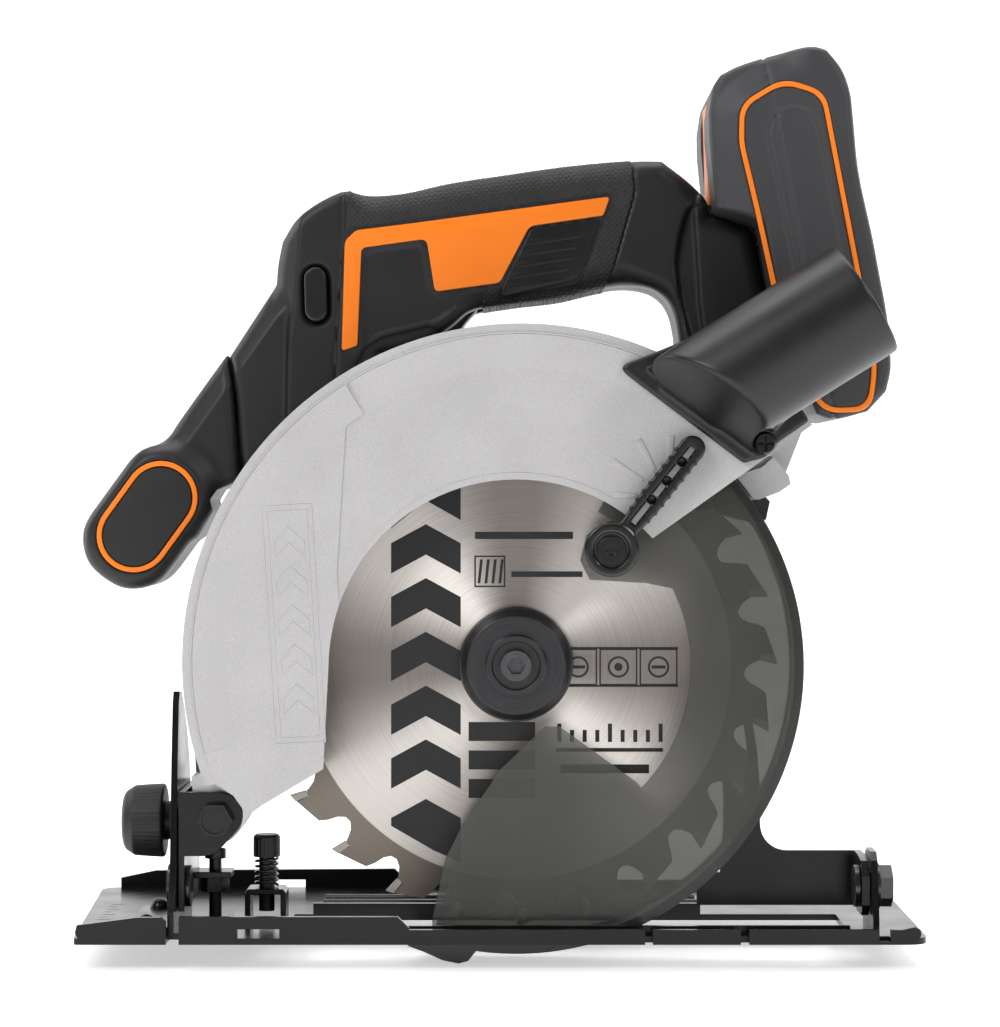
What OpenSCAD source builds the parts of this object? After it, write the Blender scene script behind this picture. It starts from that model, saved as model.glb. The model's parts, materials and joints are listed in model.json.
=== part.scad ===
// Cordless circular saw, 165 mm blade, battery at the rear of the handle.
// Frame: -X forward (cutting direction), +Y from the blade side to the motor side, +Z up.
// Origin: middle of the shoe, on the sole plane. Millimetres.
// The modules work in blade coordinates: x from the blade axis, y from the blade's
// middle plane, z from the sole. place() moves them to the origin above.

/* [Blade] */
// Blade diameter over the teeth
blade_d = 165; // [160:1:165]
// Number of carbide teeth
blade_teeth = 24; // [18:2:30]
// Thickness of the blade's plate
plate_t = 1.1; // [0.9:0.1:1.2]
// Kerf width of the carbide tips
kerf = 1.6; // [1.4:0.1:1.8]
// Arbor hole in the blade
arbor_d = 20; // [16:1:20]

/* [Shoe] */
// Sheet thickness of the shoe
shoe_t = 2; // [1.6:0.1:2.2]
// Height of the low part of the shoe's near edge
lip_h = 4.6; // [4:0.1:5]
// Height of the high part of the shoe's near edge
flange_h = 8.6; // [8:0.1:9]

/* [Handle] */
// Width of the main handle across its two shells
handle_w = 38; // [36:1:38]
// Wall of the handle shells
shell_t = 2.6; // [2.2:0.1:3]

/* [Dust port] */
// Outside diameter of the dust outlet
dust_od = 37; // [35:0.5:37]
// Inside diameter of the dust outlet
dust_id = 33; // [30:0.5:33]

/* [Motor] */
// Outside diameter of the motor housing
motor_d = 67; // [64:1:67]

/* [Battery] */
// Width of the battery pack across the saw
battery_w = 76; // [74:1:76]

/* [Hidden] */
$fn = 64;
e = 0.05;
// blade coordinates to the part's frame
ox = 5; oy = -36;
axis_z = 85;                 // blade axis above the sole
hy = 40;                     // middle plane of the handle
hy0 = hy - handle_w/2;       // near face of the handle
hy1 = hy + handle_w/2;       // far face of the handle
piv = [-94, 37];             // depth pivot
bev_z = 15;                  // bevel axis height
blade_r = blade_d/2;
// motor axis, 22.5 mm from the blade axis
mot_a = 110;
mot = [22.5*cos(mot_a), axis_z + 22.5*sin(mot_a)];
mr = motor_d/2;
// dust outlet
du_c = [106.5, 198.5]; du_a = 32; du_y = -33.8;
// battery slide direction and the foot of the rail
ba = 101; bd = [cos(ba), sin(ba)]; bp = [80.5, 206];
// depth lock bolt
dl = [piv[0] + 166*cos(40), piv[1] + 166*sin(40)];
lev = [29.5, 121.5];         // guard lever boss
lev_a = 51.5;                // guard lever direction
lk_y = 27.7;                 // spindle lock, along Y

// ---------- helpers ----------
module place() translate([ox, oy, 0]) children();
module xz(y0, y1) translate([0, y1, 0]) rotate([90, 0, 0]) linear_extrude(y1 - y0) children();
module yz(x0, x1) translate([x0, 0, 0]) rotate([90, 0, 90]) linear_extrude(x1 - x0) children();
module ycyl(x, z, y0, y1, r) translate([x, y1, z]) rotate([90, 0, 0]) cylinder(h = y1 - y0, r = r);
module xcyl(y, z, x0, x1, r) translate([x0, y, z]) rotate([0, 90, 0]) cylinder(h = x1 - x0, r = r);
module zcyl(x, y, z0, z1, r) translate([x, y, z0]) cylinder(h = z1 - z0, r = r);
module box(a, b) translate(a) cube([b[0]-a[0], b[1]-a[1], b[2]-a[2]]);
module yhex(x, z, y0, y1, r) translate([x, y1, z]) rotate([90, 0, 0]) cylinder(h = y1 - y0, r = r, $fn = 6);
module tube_y(x, z, y0, y1, ro, ri) difference() {
  ycyl(x, z, y0, y1, ro);
  ycyl(x, z, y0 - 1, y1 + 1, ri);
}
// sector of a disc: angles a0 to a1 about [x, z], out to radius r
function arc(c, r, a0, a1, n = 24) = [for (i = [0:n]) [c[0] + r*cos(a0 + (a1-a0)*i/n), c[1] + r*sin(a0 + (a1-a0)*i/n)]];
module sector(c, r, a0, a1) intersection() {
  translate(c) circle(r, $fn = 128);
  polygon(concat([c], arc(c, r*1.5, a0, a1, 12)));
}
module ring2(c, r0, r1, a0, a1) difference() {
  sector(c, r1, a0, a1);
  translate(c) circle(r0, $fn = 128);
}
// rotate a moving part about an axis along Y through [x, z]
module about_y(c, a) translate([c[0], 0, c[1]]) rotate([0, -a, 0]) translate([-c[0], 0, -c[1]]) children();
// frame of the battery: u up along the slide, v towards the rear
module bat() translate([bp[0], 0, bp[1]]) rotate([0, -(ba - 90), 0]) children();
// coil spring along +Z: mean radius r, wire radius w, turns n, height h
module coil(r, w, n, h, k = 12, s = 6) {
  m = n*k;
  pts = [for (i = [0:m]) for (j = [0:s-1])
    let (t = 360*i/k, z = h*i/m, q = 360*j/s)
    [(r + w*cos(q))*cos(t), (r + w*cos(q))*sin(t), z + w*sin(q)]];
  fcs = concat(
    [for (i = [0:m-1]) for (j = [0:s-1]) [i*s + j, (i+1)*s + j, (i+1)*s + (j+1)%s, i*s + (j+1)%s]],
    [[for (j = [0:s-1]) j]], [[for (j = [s-1:-1:0]) m*s + j]]);
  polyhedron(pts, fcs);
}
// spur gear, module 1, n teeth, along Y
module gear2(n, ro, rr) polygon([for (i = [0:n-1]) for (q = [[-0.33, rr], [-0.18, (rr+ro)/2 + 0.2], [-0.08, ro], [0.08, ro], [0.18, (rr+ro)/2 + 0.2], [0.33, rr]])
  let (a = 360*(i + q[0])/n) [q[1]*cos(a), q[1]*sin(a)]]);

// ---------- shoe ----------
module shoe_outline() polygon(concat(
  arc([-135, -23.5], 1.5, 180, 270, 4),
  [[121, -25]], arc([121, -19], 6, 270, 360, 6),
  arc([121, 91], 6, 0, 90, 6),
  arc([-137, 91], 6, 90, 180, 6)));
module shoe() place() color("#1c1c1f") {
  difference() {
    union() {
      linear_extrude(shoe_t) shoe_outline();
      // near edge, upturned
      xz(-25, -25 + shoe_t) polygon([[-134.6, 1], [-136, 3.6], [-135.4, 6], [-117, flange_h - 0.2], [-109.5, flange_h - 0.2], [-108, 7], [-108, 1],
        [-104, 1], [-104, flange_h], [-36.5, flange_h], [-33, 5.2], [-33, lip_h], [119, lip_h], [123, lip_h + 0.9], [124.6, lip_h], [124.8, 3], [124, 1]]);
      // far edge, upturned
      xz(97 - shoe_t, 97) polygon([[-137, 1], [-137, 5.5], [-125, 8], [-42, flange_h], [-38, lip_h], [121, lip_h], [121, 1]]);
      // lips beside the blade slot
      box([-66, -15, 1], [104, -13, 4.4]);
      box([-66, 29, 1], [60, 31, 5.5]);
      // stiffening beads on the motor side
      for (y = [41, 51, 63]) difference() {
        xcyl(y, 1, -64, 60, 3);
        box([-70, y - 5, -4], [70, y + 5, 1]);
      }
      // rear pivot tab
      difference() {
        yz(111.2, 113.2) polygon([[-14, 1], [-14, 6], [-9, 24], [-6, 26.5], [6, 26.5], [9, 24], [14, 6], [14, 1]]);
        xcyl(0, bev_z, 110, 114, 4.05);
      }
      // parallel guide strap on the near edge
      box([42, -25, 1], [69, -13, 3]);
    }
    // blade slot
    box([-72, -13, -1], [104, 29, 6]);
    // near edge: sight notch, guide window and strap gaps
    box([-108, -26, -1], [-104, -14, 12]);
    box([-86, -26, 2], [-73, -22.5, 4.8]);
    box([-86, 94, 2], [-73, 98, 4.8]);
    box([39.7, -26, -1], [42.1, -20, 8]);
    box([69.2, -26, -1], [71.8, -20, 8]);
    box([111.9, -26, 1], [115.4, -20, 8]);
    // engraved scale behind the front edge
    for (i = [0:8]) box([-134.6, 4 + i*6, shoe_t - 0.3], [-130.6 + (i % 2)*-1.6, 4.7 + i*6, shoe_t + 1]);
    // rivet holes of the quadrant foot
    for (y = [-8, 30]) zcyl(-116, y, -1, 5, 2.05);
  }
}
module bevel_quadrant() place() color("#1a1a1c") {
  difference() {
    union() {
      yz(-108.2, -106.2) polygon([[-19, shoe_t], [-19, 9], [-12, 20], [-7, 56], [-3.5, 73], [-1, 76.5], [5, 76], [14, 70], [22, 62], [29, 52], [34, 38], [36, 22], [36, shoe_t]]);
      // foot, riveted to the shoe
      box([-122, -15, shoe_t], [-107, 36, shoe_t + 2]);
    }
    xcyl(0, bev_z, -112, -104, 4.05);
    // arc slot for the clamping stud
    yz(-112, -104) ring2([0, bev_z], 24.1, 30.5, 43, 88);
    xcyl(27.3*cos(43), bev_z + 27.3*sin(43), -112, -104, 3.2);
    xcyl(27.3*cos(88), bev_z + 27.3*sin(88), -112, -104, 3.2);
  }
  for (y = [-8, 30]) {
    zcyl(-116, y, 0.2, shoe_t + 1, 2);
    translate([-116, y, shoe_t + 2]) difference() { sphere(3.2); box([-5, -5, -5], [5, 5, 0]); }
  }
}
module fence_bridge() place() color("#1b1b1d") difference() {
  union() {
    xz(9, 21) polygon([[-91, shoe_t], [-91, shoe_t + 1.8], [-86.6, shoe_t + 1.8], [-86.6, 11.5], [-85.6, 12.7], [-74.4, 12.7], [-73.4, 11.5], [-73.4, shoe_t],
      [-75.2, shoe_t], [-75.2, 10.9], [-84.8, 10.9], [-84.8, shoe_t]]);
  }
  zcyl(-80, 15, 9, 14, 2.55);
}
module fence_spring() place() color("#c9c9cc") translate([-80, 15, 13.35]) coil(3.5, 0.45, 5, 8.6);
module fence_screw() place() color("#202022") {
  difference() {
    union() {
      zcyl(-80, 15, 22.6, 28.9, 4.3);
      translate([-80, 15, 28.9]) cylinder(h = 0.8, r1 = 4.3, r2 = 3.5);
      zcyl(-80, 15, 5.2, 23, 2.5);
    }
    for (a = [0:20:340]) translate([-80 + 4.6*cos(a), 15 + 4.6*sin(a), 23.2]) cylinder(h = 5, r = 0.5, $fn = 16);
    box([-84.5, 14.5, 28.4], [-75.5, 15.5, 30]);
  }
}
module bevel_pivot_pins() place() color("#8f9296") {
  xcyl(0, bev_z, -108.2 - e, -103.9, 4);
  xcyl(0, bev_z, -109.8, -108.2, 6.8);
  xcyl(0, bev_z, -103.8, -102.6, 6.5);
  xcyl(0, bev_z, 107.9, 113.2, 4);
  xcyl(0, bev_z, 113.2, 114.6, 7.2);
  translate([114.6, 0, bev_z]) rotate([0, 90, 0]) cylinder(h = 4, r = 6.6, $fn = 6);
  xcyl(0, bev_z, 106.6, 108.2, 6.6);
}

// ---------- bevel frame ----------
module ear2() polygon(concat([[-105.9, 45.4]], arc([-92.7, 38.2], 7.2, 90, -45, 10), [[-92, 28.4], [-93.8, 26.6], [-96, 25.6], [-98, 25.4], [-105.9, 25.4]]));
module bevel_bracket() place() color("#19191b") difference() {
  union() {
    yz(-105.9, -103.95) polygon([[-9, 8], [-9, 45.4], [39, 45.4], [39, 14], [33, 8]]);
    xz(-9, -7) ear2();
    xz(37, 39) ear2();
    // tab for the 0 degree stop screw
    box([-105, 9, 16.2], [-91, 21, 18.2]);
  }
  xcyl(0, bev_z, -107, -102, 4.05);
  xcyl(27.3*cos(43), bev_z + 27.3*sin(43), -107, -102, 3.05);
  ycyl(piv[0], piv[1], -10, 40, 4.05);
  zcyl(-96.5, 15, 15, 20, 2.05);
}
module depth_bracket() place() color("#1a1a1c") difference() {
  union() {
    xz(14, 16.5) {
      ring2(piv, 160.5, 172.3, -7, 43.5);
      polygon(concat([[58, 7], [58, 17.2], [63, 17.5], [66, 17.5], [68, 30]], arc([86.8, 33], 8.5, 180, 270, 8), [[110.8, 24.5], [110.8, 9], [108, 7]]));
    }
    // rear ear on the bevel axis
    yz(108.4, 110.8) polygon([[-6, 6.5], [-9, 10], [-9, 19], [-5, 23.5], [5, 24.5], [16.5, 24.5], [16.5, 9], [6, 6.5]]);
  }
  xcyl(0, bev_z, 106, 112, 4.05);
  // depth slot
  xz(13, 18) ring2(piv, 162.8, 169.2, 7, 41);
  ycyl(piv[0] + 166*cos(7), piv[1] + 166*sin(7), 13, 18, 3.2);
  ycyl(piv[0] + 166*cos(41), piv[1] + 166*sin(41), 13, 18, 3.2);
}
module depth_pivot_bolt() place() color("#26272a") {
  difference() {
    union() {
      ycyl(piv[0], piv[1], -9, 39, 4);
      yhex(piv[0], piv[1], -13.4, -9.6, 5.6);
      ycyl(piv[0], piv[1], -9.8, -9, 5.5);
      yhex(piv[0], piv[1], 39, 43, 6.4);
      ycyl(piv[0], piv[1], 42, 45, 4);
    }
    ycyl(piv[0], piv[1], -14, -12.6, 4.2);
  }
}
module bevel_stop_screw() place() color("#2a2a2c") {
  zcyl(-96.5, 15, 2.6, 22.4, 2);
  difference() {
    zcyl(-96.5, 15, 22, 25, 3.4);
    translate([-96.5, 15, 23.4]) cylinder(h = 3, r = 1.7, $fn = 6);
  }
  translate([-96.5, 15, 11.4]) difference() {
    cylinder(h = 4.8, r = 4.6, $fn = 6);
    translate([0, 0, -1]) cylinder(h = 7, r = 2);
  }
}
module bevel_stud() place() color("#8a8d91") {
  xcyl(27.3*cos(43), bev_z + 27.3*sin(43), -122, -103.9, 3);
  xcyl(27.3*cos(43), bev_z + 27.3*sin(43), -103.95, -102.4, 5);
}
module bevel_knob() place() color("#222225") translate([-126.5, 27.3*cos(43), bev_z + 27.3*sin(43)]) rotate([0, 90, 0]) difference() {
  union() {
    cylinder(h = 1.2, r1 = 7.6, r2 = 9.4);
    translate([0, 0, 1.2]) cylinder(h = 2.6, r1 = 9.4, r2 = 11.3);
    translate([0, 0, 3.8]) cylinder(h = 9.8, r1 = 11.3, r2 = 11.9);
    translate([0, 0, 13.6]) cylinder(h = 3.9, r = 6.2);
  }
  translate([0, 0, 4]) cylinder(h = 20, r = 3.05);
}

// ---------- saw head: guard, gear case, handle ----------
gc = [1.5, 86.5]; gr = 105.5;
module guard_cut() polygon([[0, 85], [41.7, 124.5], [92.2, 160.4], [200, 160.4], [200, -60], [-200, -60], [-200, 48.2],
  [-97, 48.2], [-93.5, 48.5], [-88, 45], [-85, 40.8], [-82, 39.8], [-79, 42], [-60.5, 53]]);
module guard_face() {
  difference() {
    union() {
      translate(gc) circle(gr, $fn = 180);
      polygon([[38, 182], [43, 183], [52.5, 186], [90, 162], [92.2, 160.4], [60, 130]]);
    }
    guard_cut();
  }
}
module guard_window() {
  translate([0, axis_z]) circle(58.4, $fn = 128);
  polygon([[-58.2, 90], [-60, 55], [-60.5, 40], [0, 40], [0, 90]]);
}
module upper_guard() place() color("#c4c6c8") difference() {
  union() {
    // near face
    difference() { xz(-15, -12.6) guard_face(); xz(-16, -12) guard_window(); }
    // raised front panel
    xz(-15.4, -14.9) difference() {
      intersection() { guard_face(); polygon([[-52, 176], [-54, 146], [-55.8, 114.5], [-53, 80], [-53, 30], [-120, 30], [-120, 176]]); }
      guard_window();
      difference() { translate(gc) circle(gr + 5); translate(gc) circle(gr - 3.2, $fn = 180); }
    }
    // rim
    xz(-13, 12) difference() {
      guard_face();
      translate(gc) circle(gr - 3, $fn = 180);
      polygon([[62, 184], [95, 162], [40, 120]]);
    }
    // tail wall above the chip chute
    xz(-13, 12) polygon([[43, 183], [52.5, 186], [90, 162], [88.2, 159.4], [52.5, 182.6], [43.5, 180.4]]);
    // back wall
    difference() {
      xz(10.9, 13) union() {
        difference() { guard_face(); translate([0, axis_z]) circle(40); }
        polygon([[-60, 53], [-55, 120], [42, 125], [42, 100], [30, 70], [0, 58], [-25, 52]]);
      }
      ycyl(0, axis_z, 10, 14, 23.1);
    }
    // rear lug behind the tail
    difference() {
      xz(2, 13) polygon([[66, 140.5], [70, 144.8], [77.7, 147.2], [81.6, 150.6], [86.4, 144.6], [87, 142], [83.5, 139.5], [76.8, 137]]);
      ycyl(0, axis_z, 0, 10.9, 91.5);
    }
    xz(10.9, 13) polygon([[41, 124], [92, 160.4], [86, 145], [76.8, 137], [60, 136]]);
    // depth pivot boss
    ycyl(piv[0], piv[1], -6.7, 36.7, 8);
    xz(10.9, 13) polygon([[-101.5, 36], [-103.5, 70], [-80, 60], [-86.4, 39]]);
    xz(-6.7, 36.7) polygon([[-101, 40], [-102, 50], [-93, 54], [-87, 42]]);
    // screw posts for the dust port and the lever stop
    ycyl(77.2, 154.6, -13, -5, 4.2);
  }
  ycyl(piv[0], piv[1], -10, 40, 4.06);
  ycyl(77.2, 154.6, -20, -4, 1.8);
  // chip outlet behind the dust port
  xz(-17, -12) polygon([[44, 174], [50, 178.5], [57, 178], [78, 164.5], [76, 160], [70.5, 155.5], [58, 164]]);
  // hole of the depth lock bolt and the case screws
  ycyl(dl[0], dl[1], 10, 14, 3.05);
  for (c = cs) ycyl(c[0], c[1], 10, 14, 1.55);
}
// dust port: a flange on the guard face and a tube lying in front of it
module du(t0, t1, r) translate([du_c[0], du_y, du_c[1]]) rotate([0, 90 - du_a, 0]) translate([0, 0, -t1]) cylinder(h = t1 - t0, r = r);
module du_cutter(d) translate([37.8 + d*0.57, -18, 176.1 + d*0.82]) rotate([0, 35.3, 0]) rotate([-18, 0, 0]) translate([-60, -80, -90]) cube([160, 160, 90]);
module dust_port() place() color("#17171a") difference() {
  union() {
    xz(-18, -15.4) polygon([[32, 179], [32.2, 176.7], [38.4, 172.7], [57, 158.7], [70, 149], [73.4, 149.4], [77, 150.2], [81.4, 154.8], [90.5, 161.2], [88, 166.5], [54, 186.6], [44.6, 183.5]]);
    difference() {
      union() {
        du(0, 72, dust_od/2);
        // throat that spreads towards the flange
        xz(du_y, -15.4) polygon([[41, 177.5], [56, 185.6], [86, 166.5], [73.5, 150.8]]);
      }
      du_cutter(0);
    }
  }
  // outlet bore, then the wider chamber down to the guard
  du(-1, 34, dust_id/2);
  difference() {
    du(30, 80, dust_id/2 - 0.6);
    du_cutter(2.2);
  }
  difference() {
    xz(du_y, -12) polygon([[47, 175.5], [55, 180], [78.5, 165], [76.5, 161], [71, 156.5]]);
    du_cutter(2.2);
  }
  ycyl(77.2, 154.6, -19, -14, 2.1);
  ycyl(77.2, 154.6, -60, -18, 4.1);
}
module dust_port_screw() place() color("#1d1d1f") difference() {
  union() {
    translate([77.2, -18, 154.6]) rotate([90, 0, 0]) cylinder(h = 2, r1 = 3.7, r2 = 3);
    ycyl(77.2, 154.6, -18.1, -6, 1.75);
  }
  box([74.8, -21, 154.2], [79.6, -18.9, 155]);
  box([76.8, -21, 152.2], [77.6, -18.9, 157]);
}
cs = [[26.2, 103.4], [-26.2, 103.4], [8, 117.5]];
module case_flange() difference() {
  union() {
    translate([0, axis_z]) circle(25, $fn = 96);
    polygon([[-31.5, 100], [-30, 107.5], [-4, 121], [4, 122.5], [12, 122], [30, 107.5], [31.5, 100], [20, 80], [-20, 80]]);
  }
  for (c = cs) translate(c) circle(1.55, $fn = 32);
}
module gear_case() place() color("#8d9094") difference() {
  union() {
    ycyl(0, axis_z, 4.9, 13, 23);
    xz(13, 16) case_flange();
    ycyl(0, axis_z, 16, 33, 21.4);
    ycyl(mot[0], mot[1], 13, 33, 13);
    xz(16, 33) polygon([[-21, 85], [-20.7, 106], [-7, 119], [5, 106], [21, 86]]);
    // boss of the spindle lock
    translate([0, lk_y, axis_z]) rotate([0, -60, 0]) cylinder(h = 31, r = 5.2);
  }
  ycyl(0, axis_z, 15, 34, 19.7);
  ycyl(0, axis_z, 6.9, 15.5, 14);
  ycyl(0, axis_z, 3, 8, 7);
  ycyl(mot[0], mot[1], 15, 34, 7.5);
  translate([0, lk_y, axis_z]) rotate([0, -60, 0]) cylinder(h = 40, r = 2.6);
  translate([0, lk_y, axis_z]) rotate([0, -60, 0]) translate([0, 0, 23.2]) cylinder(h = 40, r = 4);
}
module gear_case_cover() place() color("#8d9094") difference() {
  union() {
    ycyl(0, axis_z, 33, 37, 21.4);
    ycyl(mot[0], mot[1], 33, 37, mr);
  }
  ycyl(0, axis_z, 32, 35.5, 9.5);
  ycyl(mot[0], mot[1], 32, 38, 4.3);
  ycyl(mot[0], mot[1], 34.5, 38, 8);
  for (a = [20, 100, 180, 300]) ycyl(mot[0] + 27*cos(a), mot[1] + 27*sin(a), 32, 38, 1.6);
}
module case_screws() place() color("#b9bbbe") {
  for (c = cs) {
    ycyl(c[0], c[1], 9.7, 15.8, 1.5);
    ycyl(c[0], c[1], 9.4, 10.9, 2.8);
  }
}
module lower_guard() place() color([0.25, 0.25, 0.24, 0.75]) difference() {
  union() {
    // near web: ring sector, lever lug and front fin
    xz(-10.5, -8.5) {
      ring2([0, axis_z], 54.6, 90, -107, 62);
      polygon([[23, 112], [20, 118], [22, 126], [30, 131], [38, 129.5], [47, 120], [55, 112], [62, 100], [55.9, 99.5], [51.2, 108.8], [40.6, 111]]);
      polygon([[9, 66], [13.7, 66], [37.8, 48.5], [45, 40], [40, 10], [0, -4], [-26, -2], [-26.3, 5.7], [-22.2, 24.5], [-17.6, 33.8], [-5, 52.6]]);
    }
    // rim band
    xz(-10.5, 9) ring2([0, axis_z], 87.8, 90, -107, 62);
    // nose
    xz(-10.5, 9) polygon([[-34, -2.5], [-28.5, -4.5], [-23, -7], [-18, -8], [-15, -7.2], [-12.5, -4], [-12, -2.7], [-24, -0.5]]);
    // far web and hub
    xz(7, 9) ring2([0, axis_z], 26, 90, -107, 62);
    tube_y(0, axis_z, 6, 10.6, 28, 23.06);
  }
  ycyl(lev[0], lev[1], -12, -8, 2.05);
  box([-50, -12, -20], [50, 10, -9]);
}
module guard_lever() place() color("#2b2b2b") difference() {
  union() {
    ycyl(lev[0], lev[1], -22, -16.4, 8.5);
    ycyl(lev[0], lev[1], -16.5, -10.5, 6);
    translate([lev[0], 0, lev[1]]) rotate([0, -lev_a, 0]) {
      box([4, -21.5, -5], [42, -16.4, 5]);
      ycyl(40, 0, -21.5, -16.4, 4);
      for (i = [0:4]) box([14 + i*6, -21.5, -5.6], [17 + i*6, -16.4, 5.6]);
    }
  }
  ycyl(lev[0], lev[1], -23, -20.4, 5.6);
  ycyl(lev[0], lev[1], -23, -9, 2.05);
  translate([lev[0], 0, lev[1]]) rotate([0, -lev_a, 0]) for (i = [0:2]) ycyl(20 + i*7.5, 0, -23, -19.5, 1.5);
}
module lever_screw() place() color("#2a2a2c") difference() {
  union() {
    ycyl(lev[0], lev[1], -20.5, -7.4, 2);
    ycyl(lev[0], lev[1], -21.6, -20.4, 4.4);
    ycyl(lev[0], lev[1], -8.5, -7.3, 3.4);
  }
  ycyl(lev[0], lev[1], -23, -21, 1.6);
}
// return spring of the lower guard, wound flat round the nose of the gear case
module guard_spring() place() color("#b9bbbe") translate([0, 3.95, axis_z]) rotate([-90, 0, 0]) coil(24.6, 0.5, 1, 1.1, 32, 6);

// depth lock: square-necked bolt through the guard's back wall and the slot, lever on the far side
module depth_lock_bolt() place() color("#8a8d91") {
  ycyl(dl[0], dl[1], 9.4, 10.9, 6.5);
  ycyl(dl[0], dl[1], 10.8, 22.6, 3);
}
module depth_lock_lever() place() color("#1c1c1e") translate([dl[0], 0, dl[1]]) rotate([0, 12, 0]) difference() {
  union() {
    ycyl(0, 0, 16.8, 22.4, 7.6);
    xz(17.4, 21.4) polygon([[0, -7.4], [0, 7.4], [30, 4.5], [46, 5], [49, 3], [49, -3], [46, -5], [30, -4.5]]);
  }
  ycyl(0, 0, 16, 23, 3.05);
}

// ---------- blade and arbor ----------
function pol(r, a) = [r*cos(a), r*sin(a)];
p = 360/blade_teeth;
module blade2() polygon([for (i = [0:blade_teeth-1]) let (a = i*p)
  each [pol(blade_r - 0.7, a + p*0.13), pol(blade_r - 3, a + p*0.56), pol(blade_r - 5.5, a + p*0.64), pol(blade_r - 8.4, a + p*0.70), pol(blade_r - 10.2, a + p*0.79),
    pol(blade_r - 10.3, a + p*0.90), pol(blade_r - 8.6, a + p*1.0), pol(blade_r - 6, a + p*1.06), pol(blade_r - 5.2, a + p*1.07), pol(blade_r - 5, a + p*1.17)]]);
module blade_plate() place() color("#b8babd") difference() {
  translate([0, plate_t/2, axis_z]) rotate([90, 0, 0]) linear_extrude(plate_t) blade2();
  ycyl(0, axis_z, -2, 2, arbor_d/2);
}
module carbide_tips() place() color("#9b8a66") translate([0, kerf/2, axis_z]) rotate([90, 0, 0]) linear_extrude(kerf)
  for (i = [0:blade_teeth-1]) let (a = i*p)
    polygon([pol(blade_r, a), pol(blade_r - 0.5, a + p*0.125), pol(blade_r - 5, a + p*0.165), pol(blade_r - 5, a + p*0.06)]);
module inner_flange() place() color("#4a4b4e") difference() {
  union() {
    ycyl(0, axis_z, 0.6, 4.6, 17);
    ycyl(0, axis_z, -0.4, 0.7, arbor_d/2 - 0.05);
  }
  ycyl(0, axis_z, -3, 6, 5.05);
  tube_y(0, axis_z, 0.3, 1, 12, 10.2);
}
module outer_flange() place() color("#2c2c2f") difference() {
  union() {
    ycyl(0, axis_z, -2.4, -0.6, 18);
    translate([0, -2.4, axis_z]) rotate([90, 0, 0]) cylinder(h = 3.2, r1 = 17.4, r2 = 15.5);
    ycyl(0, axis_z, -7.4, -5.5, 9.5);
  }
  ycyl(0, axis_z, -8, 0, 3.05);
  ycyl(0, axis_z, -8, -6.4, 7.6);
}
module blade_bolt() place() color("#55565a") difference() {
  union() {
    ycyl(0, axis_z, -9.4, -6.4, 4.8);
    ycyl(0, axis_z, -6.5, 12, 3);
    ycyl(0, axis_z, -6.45, -6.1, 3);
  }
  translate([0, -7.2, axis_z]) rotate([90, 0, 0]) cylinder(h = 4, r = 2.9, $fn = 6);
}
module spindle() place() color("#9a9ca0") difference() {
  union() {
    ycyl(0, axis_z, -0.4, 7.2, 5);
    ycyl(0, axis_z, 7.2, 32.3, 6);
    ycyl(0, axis_z, 4.7, 6.8, 6.8);
    ycyl(0, axis_z, 32.3, 35.4, 5);
    intersection() {
      ycyl(0, axis_z, 25.6, 31, 12);
      translate([0, 28, axis_z]) rotate([0, -60, 0]) cube([20, 12, 20], center = true);
    }
  }
  ycyl(0, axis_z, -2, 13, 3);
}
module driven_gear() place() color("#85878b") difference() {
  translate([0, 24.8, axis_z]) rotate([90, 0, 0]) linear_extrude(9) gear2(36, 18.95, 16.7);
  ycyl(0, axis_z, 15, 28, 6.02);
  for (a = [0:60:300]) ycyl(11.5*cos(a), axis_z + 11.5*sin(a), 16, 28, 2.5);
}
module spindle_bearings() place() color("#a8abaf") {
  tube_y(0, axis_z, 7, 15, 9, 6.03);
  tube_y(0, axis_z, 7.4, 14.6, 14, 11.5);
  tube_y(0, axis_z, 8, 14, 11.5, 9);
  tube_y(0, axis_z, 32.6, 35.4, 9.4, 5.03);
}
module armature() place() color("#7d7f83") {
  ycyl(mot[0], mot[1], 16, 28.5, 3.3);
  ycyl(mot[0], mot[1], 28, 98, 4);
  translate([mot[0], 28, mot[1]]) rotate([90, 0, 0]) linear_extrude(11) rotate(30) gear2(9, 5.35, 3.5);
  tube_y(mot[0], mot[1], 50, 80, 20, 3.9);
  for (a = [0:45:315]) translate([mot[0], 0, mot[1]]) rotate([0, a, 0]) box([8, 46, -3], [17, 84, 3]);
}
module commutator() place() color("#b87333") difference() {
  ycyl(mot[0], mot[1], 84.6, 92, 10);
  ycyl(mot[0], mot[1], 84, 93, 4);
  for (a = [0:30:330]) translate([mot[0], 0, mot[1]]) rotate([0, a, 0]) box([8.8, 84, -0.3], [11, 93, 0.3]);
}
module cooling_fan() place() color("#2a2a2a") difference() {
  union() {
    tube_y(mot[0], mot[1], 40.5, 42, 26, 4);
    tube_y(mot[0], mot[1], 41, 45.5, 7, 4);
    for (a = [0:30:330]) translate([mot[0], 0, mot[1]]) rotate([0, a, 0]) box([6, 38.4, -0.6], [25.5, 41, 0.6]);
  }
  ycyl(mot[0], mot[1], 37, 47, 4);
}
module motor_can() place() color("#5c5e62") difference() {
  ycyl(mot[0], mot[1], 47, 84, 28.5);
  ycyl(mot[0], mot[1], 46, 82.5, 26.5);
  ycyl(mot[0], mot[1], 80, 86, 21);
}
module motor_magnets() place() color("#3a3b3d") xz(49, 81) {
  ring2(mot, 21, 26.45, 20, 160);
  ring2(mot, 21, 26.45, 200, 340);
}
module carbon_brushes() place() color("#2e2e30") for (s = [-1, 1]) translate([mot[0], 0, mot[1]]) scale([s, 1, 1]) {
  box([10.2, 85.6, -3], [20, 91, 3]);
  difference() { box([12, 84.5, -4.2], [28, 92, 4.2]); box([11, 85.5, -3.1], [27, 91.1, 3.1]); }
}
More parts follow.
